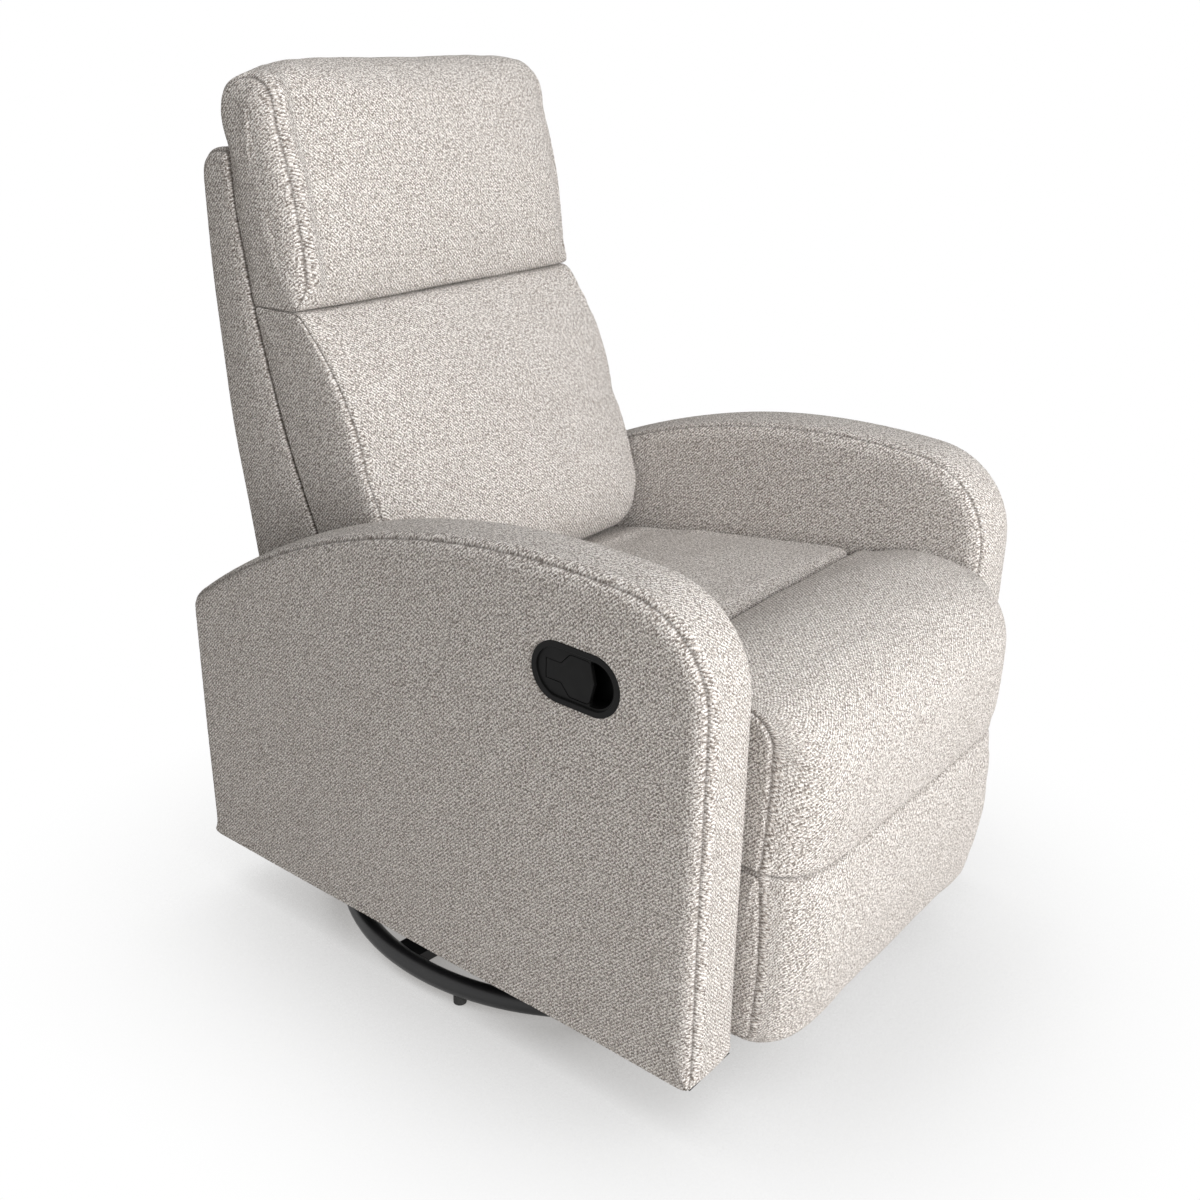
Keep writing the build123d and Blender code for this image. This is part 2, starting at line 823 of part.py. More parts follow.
def bolster(place):
    """Side profile of the roll along the front of the seat."""
    rear = crease_y - seam_gap
    drop = bolster_drop * place**crown_power
    under = hinge_z + seam_gap
    neck = board_rear + board_room
    edge = (rear, bolster_edge)
    shoulder = (rear - bolster_shoulder[0], bolster_shoulder[1] - drop)
    turn = hinge_turn(place, under)
    low, nose, brow = (bolster_arc(place, share * turn) for share in (1, 0.5, 0))
    return make_face(
        [
            Line((rear, pad_bottom), edge),
            ThreePointArc(edge, (rear - bolster_roll[0], bolster_roll[1]), shoulder),
            ThreePointArc(shoulder, shifted(bolster_crest, 0, -drop), brow),
            ThreePointArc(brow, nose, low),
            Polyline(low, (neck, under), (neck, pad_bottom), (rear, pad_bottom)),
        ]
    )


def leg_pad(place):
    """Side profile of the upper front pad."""
    back = board_front - pad_gap
    front = pad_front(place)
    low = seam_z + seam_half
    top = hinge_z - seam_gap
    turn = hinge_turn(place, top)
    high, nose, face = (bolster_arc(place, angle) for angle in (turn, (turn + pi / 2) / 2, pi / 2))
    seam = (front + seam_tuck, low)
    return make_face(
        [
            ThreePointArc(high, nose, face),
            ThreePointArc(face, (front + seam_tuck / 6, (face[1] + low) / 2), seam),
            Polyline(seam, (back, low), (back, top), high),
        ]
    )


def foot_pad(place):
    """Side profile of the lower front pad."""
    back = board_front - pad_gap
    front = pad_front(place)
    high = seam_z - seam_half
    low = pad_foot + foot_round * place**edge_power
    depth = back - front
    seam = (front + seam_tuck, high)
    toe = (front + depth * toe_depth, low + toe_height)
    fold = (front + depth * toe_fold_depth, low + toe_fold)
    sole = (front + depth * sole_depth, low)
    return make_face(
        [
            ThreePointArc(seam, (front, (toe[1] + high) / 2), toe),
            ThreePointArc(toe, fold, sole),
            Polyline(sole, (back, low), (back, high), seam),
        ]
    )


def lumbar(place):
    """Side profile of the lower back cushion."""
    draw = place**edge_power
    rear_top = on_shell(lumbar_brow[1])
    rear_low = shifted(shell_front[0], -seam_gap)
    heel = shifted(shell_heel[1], -seam_gap)
    points = (lumbar_sole, lumbar_chin, lumbar_nose, lumbar_belly, lumbar_waist, lumbar_chest)
    sole, chin, nose, belly, waist, chest = (shifted(point, cushion_draw * draw) for point in points)
    brow = shifted(lumbar_brow, brow_draw * draw)
    return make_face(
        [
            ThreePointArc(rear_top, on_shell((rear_top[1] + rear_low[1]) / 2), rear_low),
            Polyline(rear_low, heel, (heel[0], lumbar_root[1]), lumbar_root, sole),
            ThreePointArc(sole, chin, nose),
            ThreePointArc(nose, belly, waist),
            ThreePointArc(waist, chest, brow),
            Line(brow, rear_top),
        ]
    )


def head(place):
    """Side profile of the upper back cushion."""
    draw = place**edge_power
    rear_low = on_shell(head_tuck[1])
    rear_high = shifted(shell_front[2], -seam_gap)
    tuck = shifted(head_tuck, brow_draw * draw / 2)
    jowl, chin, cheek, brow = (
        shifted(point, cushion_draw * draw) for point in (head_jowl, head_chin, head_cheek, head_brow)
    )
    top = shifted(head_top, 0, -corner_drop * draw)
    crown = shifted(head_crown, 0, -corner_drop * draw)
    return make_face(
        [
            ThreePointArc(rear_low, on_shell((rear_low[1] + rear_high[1]) / 2), rear_high),
            Line(rear_high, crown),
            ThreePointArc(crown, top, brow),
            ThreePointArc(brow, cheek, chin),
            ThreePointArc(chin, jowl, tuck),
            Line(tuck, rear_low),
        ]
    )


def on_shell(z):
    """The point of a back cushion's rear face at a height, just clear of the shell."""
    return (arc_y(shell_front, z) - seam_gap, z)


def make_cushions():
    """The soft pieces of the seat, footrest and back."""
    save("seat_pad", crowned(seat_pad))
    save("front_bolster", crowned(bolster))
    save("leg_pad", crowned(leg_pad))
    save("foot_pad", crowned(foot_pad))
    save("lumbar_cushion", crowned(lumbar))
    save("head_cushion", crowned(head))


# Footrest


def make_footrest():
    """The board behind the pads, its brackets and the linkage that carries it."""
    board = box((-board_half, board_half), (board_front, board_rear), (board_bottom, board_top))
    save("footrest_board", board)
    root, knee, tip = link_root, link_knee, link_tip
    rear_mid, front_mid, cross = middle(root, knee), middle(knee, tip), middle(root, tip)
    bracket = box(
        (link_a_in - bracket_foot, link_a_out),
        (board_rear, board_rear + plate_sheet),
        (tip[1] - bracket_half, tip[1] + bracket_half),
    )
    bracket += box(
        (link_a_in, link_a_out),
        (board_rear, tip[0] + bracket_reach),
        (tip[1] - bracket_ear, tip[1] + bracket_ear),
    )
    bracket -= pin(tip, pivot_radius + tight_play, 0, half_width)
    save("footrest_brackets", *both_sides([bracket]))
    save("footrest_pins", *both_sides([link_pin(tip)]))
    rear = bar(root, knee, link_a_in, link_a_out, holes=(root, rear_mid, knee))
    save("rear_links", *both_sides([rear]))
    front = bar(knee, tip, link_b_in, link_b_out, holes=(knee, front_mid, tip))
    save("front_links", *both_sides([front]))
    low = bar(rear_mid, cross, link_b_in, link_b_out, holes=(rear_mid, cross))
    save("cross_links_rear", *both_sides([low]))
    high = bar(cross, front_mid, link_a_in, link_a_out, holes=(cross, front_mid))
    save("cross_links_front", *both_sides([high]))
    save("rear_link_pins", *both_sides([link_pin(rear_mid), link_pin(knee)]))
    save("front_link_pins", *both_sides([link_pin(front_mid)]))
    save("cross_link_pins", *both_sides([link_pin(cross)]))


def link_pin(point):
    """A rivet through two layers of links, with its head on the inner side."""
    neck = link_b_in - weld_gap
    shank = pin(point, pivot_radius, neck, link_a_out)
    return shank + pin(point, rivet_head_radius, neck - rivet_head_height, neck)


# Back


def shell_outline():
    """Side view of the back shell."""
    face = make_face(
        [
            ThreePointArc(*shell_rear),
            Line(shell_rear[2], shell_front[2]),
            ThreePointArc(*reversed(shell_front)),
            Polyline(shell_front[0], shell_heel[1], shell_heel[0], shell_rear[0]),
        ]
    )
    corner = face.vertices().sort_by_distance((*shell_rear[2], 0))[0]
    return fillet(corner, shell_round)


def make_back():
    """The padded shell, the frame and webbing in it, and the brackets it hinges on."""
    block = panel(shell_outline(), -cushion_half, cushion_half)
    sides = block.faces().sort_by(Axis.X)
    rims = [edge for side in (sides[0], sides[-1]) for edge in side.edges()]
    behind = middle(shell_front[1], shell_front[2])[0]
    block = fillet([edge for edge in rims if edge.center().Y > behind], shell_edge)
    inner = cushion_half - shell_wall
    save("back_shell", block - panel(cavity_outline(), -inner, inner))
    side = panel(frame_outline(), frame_half - frame_panel, frame_half)
    reach = frame_half - frame_panel
    ties = []
    for z in frame_rail_heights:
        y = max(front_line(z), shell_heel[1][0]) + frame_rail_setback
        half = frame_rail_tall / 2
        ties.append(box((-reach, reach), (y, y + frame_rail_deep), (z - half, z + half)))
    save("back_frame", *both_sides([side]), *ties)
    straps = []
    for z in strap_heights:
        half = strap_tall / 2
        lean = degrees(atan2(front_line(z + half) - front_line(z - half), strap_tall))
        strap = Rot(-lean, 0, 0) * Box(2 * frame_half, strap_sheet, strap_tall)
        straps.append(Pos(0, front_line(z) + strap_setback, z) * strap)
    save("back_webbing", *straps)
    bracket = bar(
        back_pivot,
        bracket_tip,
        frame_half,
        frame_half + link_sheet,
        holes=(back_pivot,),
        hole_radius=back_pivot_radius + pin_play,
        width=bracket_width,
    )
    save("back_brackets", *both_sides([bracket]))


def front_line(z):
    """The y of the shell's front at a height."""
    low, high = shell_heel[1], shell_front[0]
    if z >= high[1]:
        return arc_y(shell_front, z)
    return low[0] + (high[0] - low[0]) * (z - low[1]) / (high[1] - low[1])


def cavity_outline():
    """The hollow of the shell, open to the front."""
    low, mid, high = rear_line(shell_wall, 2 * shell_wall)
    front = shell_heel[0][0] - shell_mouth
    sill = shell_heel[0][1] + shell_wall
    return make_face(
        [ThreePointArc(low, mid, high), Polyline(high, (front, high[1]), (front, sill), low)]
    )


def rear_line(inset, rise):
    """Three points of the shell's rear arc moved forward by an inset, from some rise above its foot."""
    heights = (shell_rear[0][1] + rise, shell_rear[1][1], shell_rear[2][1] - inset)
    return [(arc_y(shell_rear, z) - inset, z) for z in heights]


def frame_outline():
    """Side view of a plywood side of the back frame."""
    low, mid, high = rear_line(shell_wall + pad_gap, 3 * shell_wall)
    front = [shifted(point, frame_setback) for point in shell_front]
    top = (front[2][0], high[1])
    heel = shifted(shell_heel[1], frame_setback)
    return make_face(
        [
            ThreePointArc(low, mid, high),
            Line(high, top),
            ThreePointArc(top, front[1], front[0]),
            Polyline(front[0], heel, shifted(heel, 0, -frame_heel), low),
        ]
    )


def main():
    """Builds and writes every node."""
    os.makedirs("parts", exist_ok=True)
    make_base()
    make_chassis()
    make_arms()
    make_handle()
    make_swing_links()
    make_seat_frame()
    make_seat_springs()
    make_cushions()
    make_footrest()
    make_back()


main()
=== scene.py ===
import json
import math

import bpy
import numpy as np
from mathutils import Matrix, Vector


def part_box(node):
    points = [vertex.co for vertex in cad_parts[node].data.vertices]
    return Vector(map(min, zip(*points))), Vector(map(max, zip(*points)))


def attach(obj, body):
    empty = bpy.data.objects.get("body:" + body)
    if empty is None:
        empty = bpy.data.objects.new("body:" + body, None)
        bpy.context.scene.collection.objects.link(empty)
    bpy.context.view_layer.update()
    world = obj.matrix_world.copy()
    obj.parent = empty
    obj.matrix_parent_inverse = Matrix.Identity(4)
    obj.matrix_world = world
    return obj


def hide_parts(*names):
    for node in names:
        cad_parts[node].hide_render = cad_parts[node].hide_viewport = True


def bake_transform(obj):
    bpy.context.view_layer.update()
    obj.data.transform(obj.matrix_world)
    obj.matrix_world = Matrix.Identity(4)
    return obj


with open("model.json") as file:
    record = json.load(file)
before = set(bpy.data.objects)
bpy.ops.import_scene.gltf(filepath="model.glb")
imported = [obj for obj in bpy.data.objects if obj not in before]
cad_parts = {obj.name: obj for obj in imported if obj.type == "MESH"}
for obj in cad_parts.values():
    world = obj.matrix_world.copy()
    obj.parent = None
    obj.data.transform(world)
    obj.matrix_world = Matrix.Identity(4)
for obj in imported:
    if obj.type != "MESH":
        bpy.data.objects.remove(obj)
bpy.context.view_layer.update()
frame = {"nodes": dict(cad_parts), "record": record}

bl_info = {
    "name": "Swivel recliner",
    "version": (1, 0, 0),
    "blender": (4, 5, 0),
    "location": "View3D > Sidebar > Recliner",
    "description": "Upholstery, finishes and studio of the swivel recliner",
    "category": "Object",
}

ARM_LOW, ARM_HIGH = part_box("arm_cover_left")
CUSHION_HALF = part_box("seat_pad")[1].x
CUP_LOW, CUP_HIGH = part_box("handle_cup")


class TweedProps(bpy.types.PropertyGroup):
    """Yarns and weave of the cover."""

    light_yarn: bpy.props.FloatVectorProperty(
        name="Light yarn", description="Colour of the warp", subtype="COLOR", default=(0.985, 0.95, 0.92)
    )
    mid_yarn: bpy.props.FloatVectorProperty(
        name="Middle yarn", description="Colour of the weft", subtype="COLOR", default=(0.57, 0.52, 0.48)
    )
    dark_yarn: bpy.props.FloatVectorProperty(
        name="Dark yarn", description="Colour of the flecks", subtype="COLOR", default=(0.12, 0.098, 0.083)
    )
    pitch: bpy.props.FloatProperty(
        name="Yarn pitch", description="Distance from yarn to yarn", unit="LENGTH", default=0.00113
    )
    relief: bpy.props.FloatProperty(
        name="Relief", description="How far the yarns stand out", unit="LENGTH", default=0.0004
    )
    sheen: bpy.props.FloatProperty(name="Sheen", description="Fibre sheen at the edges", default=0.10)


class CoverProps(bpy.types.PropertyGroup):
    """Make-up of the covers."""

    seam_depth: bpy.props.FloatProperty(
        name="Seam depth", description="How far a seam sinks in", unit="LENGTH", default=0.0018
    )
    pucker: bpy.props.FloatProperty(
        name="Pucker", description="Height of the small gathers along a seam", unit="LENGTH", default=0.0006
    )
    ease: bpy.props.FloatProperty(
        name="Ease", description="Height of the slow waves in the cover", unit="LENGTH", default=0.0009
    )
    arm_crown: bpy.props.FloatProperty(
        name="Arm crown", description="Rise of the arm band over its seams", unit="LENGTH", default=0.007
    )
    seat_crown: bpy.props.FloatProperty(
        name="Seat crown", description="Rise of the seat's middle", unit="LENGTH", default=0.014
    )
    tuck_depth: bpy.props.FloatProperty(
        name="Tuck depth", description="Depth of the short creases", unit="LENGTH", default=0.0028
    )
    pressure: bpy.props.FloatProperty(
        name="Pressure", description="Pressure of the filling on the cloth", default=4.0
    )
    slack: bpy.props.FloatProperty(
        name="Slack", description="Share of cloth beyond the plain shape", default=0.006
    )
    band_step: bpy.props.FloatProperty(
        name="Band step", description="Distance between stations across a cover", unit="LENGTH", default=0.011
    )
    spacing: bpy.props.FloatProperty(
        name="Spacing", description="Distance between points of a cover", unit="LENGTH", default=0.008
    )


class StudioProps(bpy.types.PropertyGroup):
    """Light, floor and camera."""

    floor: bpy.props.FloatVectorProperty(
        name="Floor", description="Colour of the floor", subtype="COLOR", default=(0.74, 0.72, 0.70)
    )
    key: bpy.props.FloatProperty(name="Key light", description="Power of the front light", default=134.0)
    top: bpy.props.FloatProperty(name="Top light", description="Power of the overhead light", default=12.0)
    ambient: bpy.props.FloatProperty(name="Ambient", description="Light all round", default=0.31)
    lens: bpy.props.FloatProperty(name="Lens", description="Focal length of the camera", default=42.09)


PROPS = (
    ("recliner_tweed", TweedProps),
    ("recliner_cover", CoverProps),
    ("recliner_studio", StudioProps),
)


# Outlines in the side view, as (y, z) in metres

SHELL_FRONT = ((0.267, 0.512), (0.342, 0.722), (0.379, 0.947))
SHELL_REAR = ((0.350, 0.285), (0.416, 0.610), (0.432, 0.947))
SEAM_CLEAR = 0.0005
CROWN_POWER = 4
EDGE_POWER = 12
PAD_BACK = -0.3757
FOOT_SEAM = 0.297
PAD_GAP = 0.0003
PAD_LOW = 0.3646
HINGE_HEIGHT = 0.455
ROLL_UNDER = 0.4605
ROLL_REAR = -0.2057
BACK_CREASE = 0.772
CREASE_GAP = 0.0002
FINE_STEPS = 40


def circle_through(a, b, c):
    """Centre of the circle through three points, from the two equations of equal distance."""
    matrix = 2 * np.array([b - a, c - a])
    return np.linalg.solve(matrix, np.array([b @ b - a @ a, c @ c - a @ a]))


def follow(segment, count):
    """Points along a segment without its end: evenly along a line, or by even angles along an arc."""
    points = [np.array(point, float) for point in segment]
    share = np.linspace(0, 1, count, endpoint=False)[:, None]
    if len(points) == 2:
        return points[0] + share * (points[1] - points[0])
    centre = circle_through(*points)
    angle = [math.atan2(*(point - centre)[::-1]) for point in points]
    sweep = (angle[2] - angle[0]) % (2 * math.pi)
    if (angle[1] - angle[0]) % (2 * math.pi) > sweep:
        sweep -= 2 * math.pi
    turn = angle[0] + share * sweep
    return centre + np.linalg.norm(points[0] - centre) * np.hstack([np.cos(turn), np.sin(turn)])


def counts_of(segments, spacing):
    """How many points each segment gets, so that they lie about one spacing apart."""
    fine = [follow(segment, FINE_STEPS) for segment in segments]
    lengths = [np.linalg.norm(np.diff(points, axis=0), axis=1).sum() for points in fine]
    whole = FINE_STEPS / (FINE_STEPS - 1)
    return [max(3, round(length * whole / spacing)) for length in lengths]


def soften(loop, width):
    """Rounds a closed loop: its Fourier terms are damped by a Gaussian that is some points wide."""
    terms = np.fft.rfft(loop, axis=0)
    damp = np.exp(-2 * (math.pi * np.fft.rfftfreq(len(loop)) * width) ** 2)
    return np.fft.irfft(terms * damp[:, None], len(loop), axis=0)


def outward(loop):
    """Unit normals of a closed loop: its tangent turned by a right angle, away from the inside."""
    tangent = np.roll(loop, -1, axis=0) - np.roll(loop, 1, axis=0)
    tangent /= np.linalg.norm(tangent, axis=1)[:, None]
    area = np.sum(loop[:, 0] * np.roll(loop[:, 1], -1) - loop[:, 1] * np.roll(loop[:, 0], -1))
    return np.sign(area) * np.stack([tangent[:, 1], -tangent[:, 0]], axis=1)


def arc_y(points, z):
    """The y at a height on the rear side of the arc through three points."""
    a, b, c = (np.array(point) for point in points)
    centre = circle_through(a, b, c)
    radius = np.linalg.norm(a - centre)
    return centre[0] + math.sqrt(radius**2 - (z - centre[1]) ** 2)


def on_shell(z):
    """A point of a back cushion's rear face at a height."""
    return (arc_y(SHELL_FRONT, z) - SEAM_CLEAR, z)


def arm_profile(place):
    """Side view of an arm: front face, front arc, long top arc, rear face and underside."""
    front, rear, low = ARM_LOW.y, ARM_HIGH.y, ARM_LOW.z
    nose_radius, top_radius, apex = 0.110, 1.0, -0.185
    top_z = ARM_HIGH.z - top_radius
    nose_y = front + nose_radius
    nose_z = top_z + math.sqrt((top_radius - nose_radius) ** 2 - (nose_y - apex) ** 2)
    lean = math.atan2(nose_y - apex, nose_z - top_z)
    fall = math.asin((rear - apex) / top_radius)

    def nose(turn):
        return (nose_y + nose_radius * math.sin(turn), nose_z + nose_radius * math.cos(turn))

    def top(turn):
        return (apex + top_radius * math.sin(turn), top_z + top_radius * math.cos(turn))

    quarter = -math.pi / 2
    return [
        [(front, low), nose(quarter)],
        [nose(quarter), nose((quarter + lean) / 2), nose(lean)],
        [nose(lean), top((lean + fall) / 2), top(fall)],
        [top(fall), (rear, low)],
        [(rear, low), (front, low)],
    ]


def seat_profile(place):
    """Side view of the rear seat pad, lower by its crown at the sides."""
    crown = bpy.context.scene.recliner_cover.seat_crown * (1 - place**CROWN_POWER)
    low, rear, front, roll = PAD_LOW, 0.220, -0.2043, 0.020
    lean = roll * (1 - math.sqrt(0.5))
    edge, shoulder = (front, 0.468 - roll), (front + roll, 0.468 + crown / 2)
    return [
        [(rear, low), (front, low)],
        [(front, low), edge],
        [edge, (front + lean, 0.468 - lean), shoulder],
        [shoulder, (0.0, 0.441 + crown), (rear, 0.396)],
        [(rear, 0.396), (rear, low)],
    ]


def pad_front(place):
    """The y of the front pads: level across the chair and drawn back close to the sides."""
    return -0.441 + 0.050 * place**EDGE_POWER


def pad_back(place):
    """The y of the front pads' rear: flat on the board, wrapped further back at the sides."""
    return PAD_BACK + 0.028 * min(1, max(0, (place - 0.965) / 0.02))


def roll_point(place, turn):
    """A point of the front roll's big rounding, turned from straight up towards the front."""
    radius = 0.078 * (1 - place**EDGE_POWER / 2)
    foot = 0.487 - 0.008 * place**CROWN_POWER - radius
    return (pad_front(place) + radius * (1 - math.sin(turn)), foot + radius * math.cos(turn))


def front_profile(place):
    """Side view of the front roll's top and the leg pad, one cover over the front face where the pad's hinge
    lies.
    """
    rear = ROLL_REAR
    drop = 0.008 * place**CROWN_POWER
    front, back = pad_front(place), pad_back(place)
    edge, shoulder = (rear, ROLL_UNDER), (rear - 0.030, 0.477 - drop)
    brow, cheek, face = (roll_point(place, math.radians(turn)) for turn in (0, 45, 90))
    seam = (front + 0.006, FOOT_SEAM + PAD_GAP)
    notch = (max(front + 0.042, -0.402), HINGE_HEIGHT)
    return [
        [edge, (rear - 0.009, 0.470 - drop / 2), shoulder],
        [shoulder, (-0.310, 0.493 - drop), brow],
        [brow, cheek, face],
        [face, (front + 0.001, (face[1] + seam[1]) / 2), seam],
        [seam, (back, seam[1])],
        [(back, seam[1]), (back, HINGE_HEIGHT - 0.019)],
        [(back, HINGE_HEIGHT - 0.019), notch],
        [notch, (notch[0] + 0.020, ROLL_UNDER)],
        [(notch[0] + 0.020, ROLL_UNDER), edge],
    ]


def base_profile(place):
    """Side view of the padded block under the front roll."""
    low, high, neck = PAD_LOW, ROLL_UNDER - 0.0008, -0.351
    return [
        [(ROLL_REAR, low), (ROLL_REAR, high)],
        [(ROLL_REAR, high), (neck, high)],
        [(neck, high), (neck, low)],
        [(neck, low), (ROLL_REAR, low)],
    ]


def foot_profile(place):
    """Side view of the lower front pad with its turned-under toe."""
    front, back = pad_front(place), pad_back(place)
    high, low = FOOT_SEAM - PAD_GAP, 0.076 + 0.010 * place**EDGE_POWER
    depth = PAD_BACK - front
    seam = (front + 0.006, high)
    toe = (front + 0.20 * depth, low + 0.028)
    sole = (front + 0.60 * depth, low)
    return [
        [seam, (front, (toe[1] + high) / 2), toe],
        [toe, (front + 0.33 * depth, low + 0.008), sole],
        [sole, (back, low)],
        [(back, low), (back, high)],
        [(back, high), seam],
    ]


def lumbar_profile(place):
    """Side view of the lower back cushion, drawn back close to the sides."""
    inward = 0.010 * place**EDGE_POWER
    top = BACK_CREASE - CREASE_GAP
    rear_top, rear_low, heel, toe = on_shell(top), (0.2665, 0.512), (0.2445, 0.430), (0.2445, 0.399)
    sole, chin, nose = (0.158 + inward, 0.421), (0.134 + inward, 0.444), (0.128 + inward, 0.485)
    belly, waist = (0.148 + inward, 0.545), (0.174 + inward, 0.602)
    chest, brow = (0.206 + inward, 0.690), (0.268 + 1.4 * inward, top)
    root = (0.222, 0.399)
    return [
        [rear_low, on_shell(0.640), rear_top],
        [rear_top, brow],
        [brow, chest, waist],
        [waist, belly, nose],
        [nose, chin, sole],
        [sole, root],
        [root, toe],
        [toe, heel],
        [heel, rear_low],
    ]


def head_profile(place):
    """Side view of the upper back cushion, fullest just above the crease."""
    inward, fall = 0.010 * place**EDGE_POWER, 0.020 * place**6
    low = BACK_CREASE + CREASE_GAP
    rear_low, rear_high = on_shell(low), (0.3785, 0.947)
    tuck, jowl = (0.278 + 0.7 * inward, low), (0.267 + inward, 0.784)
    chin, cheek = (0.263 + inward, 0.806), (0.274 + inward, 0.890)
    brow = (0.300 + inward, 0.990 - fall / 2)
    top, crown = (0.340, 1.046 - fall), (0.386, 0.994 - fall)
    return [
        [rear_low, on_shell(0.860), rear_high],
        [rear_high, crown],
        [crown, top, brow],
        [brow, cheek, chin],
        [chin, jowl, tuck],
        [tuck, rear_low],
    ]


def shell_profile(place):
    """Side view of the padded shell behind the back cushions."""
    top = SHELL_REAR[2]
    shoulder = (arc_y(SHELL_REAR, top[1] - 0.030), top[1] - 0.030)
    corner = (shoulder[0] - 0.009, top[1] - 0.009)
    return [
        [SHELL_REAR[0], SHELL_REAR[1], shoulder],
        [shoulder, corner, (shoulder[0] - 0.030, top[1])],
        [(shoulder[0] - 0.030, top[1]), SHELL_FRONT[2]],
        [SHELL_FRONT[2], SHELL_FRONT[1], SHELL_FRONT[0]],
        [SHELL_FRONT[0], (0.245, 0.430)],
        [(0.245, 0.430), (0.245, 0.350)],
        [(0.245, 0.350), SHELL_REAR[0]],
    ]


def apron_profile(place):
    """Side view of the panel between the arms at the rear."""
    low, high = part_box("rear_apron")
    return [
        [(low.y, low.z), (low.y, high.z)],
        [(low.y, high.z), (high.y, high.z)],
        [(high.y, high.z), (high.y, low.z)],
        [(high.y, low.z), (low.y, low.z)],
    ]


# Covers: a side view carried across the chair, with a rolled and seamed edge and a panel on each side

OPEN_TURNS = np.radians([90, 80, 70, 60, 50, 40, 30, 20, 10])
SEAM_STEPS = np.array([0.0045, 0.0022, 0.0008, 0.0, -0.0008, -0.0022, -0.0045])
SIDE_SHARES = np.array([0.02, 0.05, 0.1, 0.18, 0.3, 0.45, 0.62, 0.8, 0.94])
SEAM_CLEARANCE = 0.06
EDGE_PULL = 0.35
CROWN_LEVEL = 0.2
FILL_INSET = 0.002
TIGHT_SHARE, TIGHT_SPREAD = 0.85, 1.4
# width of the painted shade along a seam, then width of the seam's groove
SEAM_SHADE_WIDTH, SEAM_WIDTH = 0.0010, 0.0013
LIP_SHARE, LIP_GAP, LIP_WIDTH = 0.35, 0.005, 0.003
GATHER_LENGTH, GATHER_REACH = 0.019, 0.012
TUCK_WIDTH, TUCK_RIDGE, TUCK_REACH = 0.005, 0.008, 0.028
WAVE_COUNT = 7
WAVE_ROUNDS, WAVE_LENGTHS = (2, 9), (0.12, 0.4)
CLOTH_FRAMES, CLOTH_STIFFNESS = 20, 20.0


def roll_turns(radius, seam_turn):
    """Turns of the stations round an edge, from its side to its band, close together at the seam."""
    near = seam_turn + SEAM_STEPS / radius
    apart = OPEN_TURNS[(OPEN_TURNS > near[0] + SEAM_CLEARANCE) | (OPEN_TURNS < near[-1] - SEAM_CLEARANCE)]
    return np.sort(np.concatenate([apart, near]))[::-1]


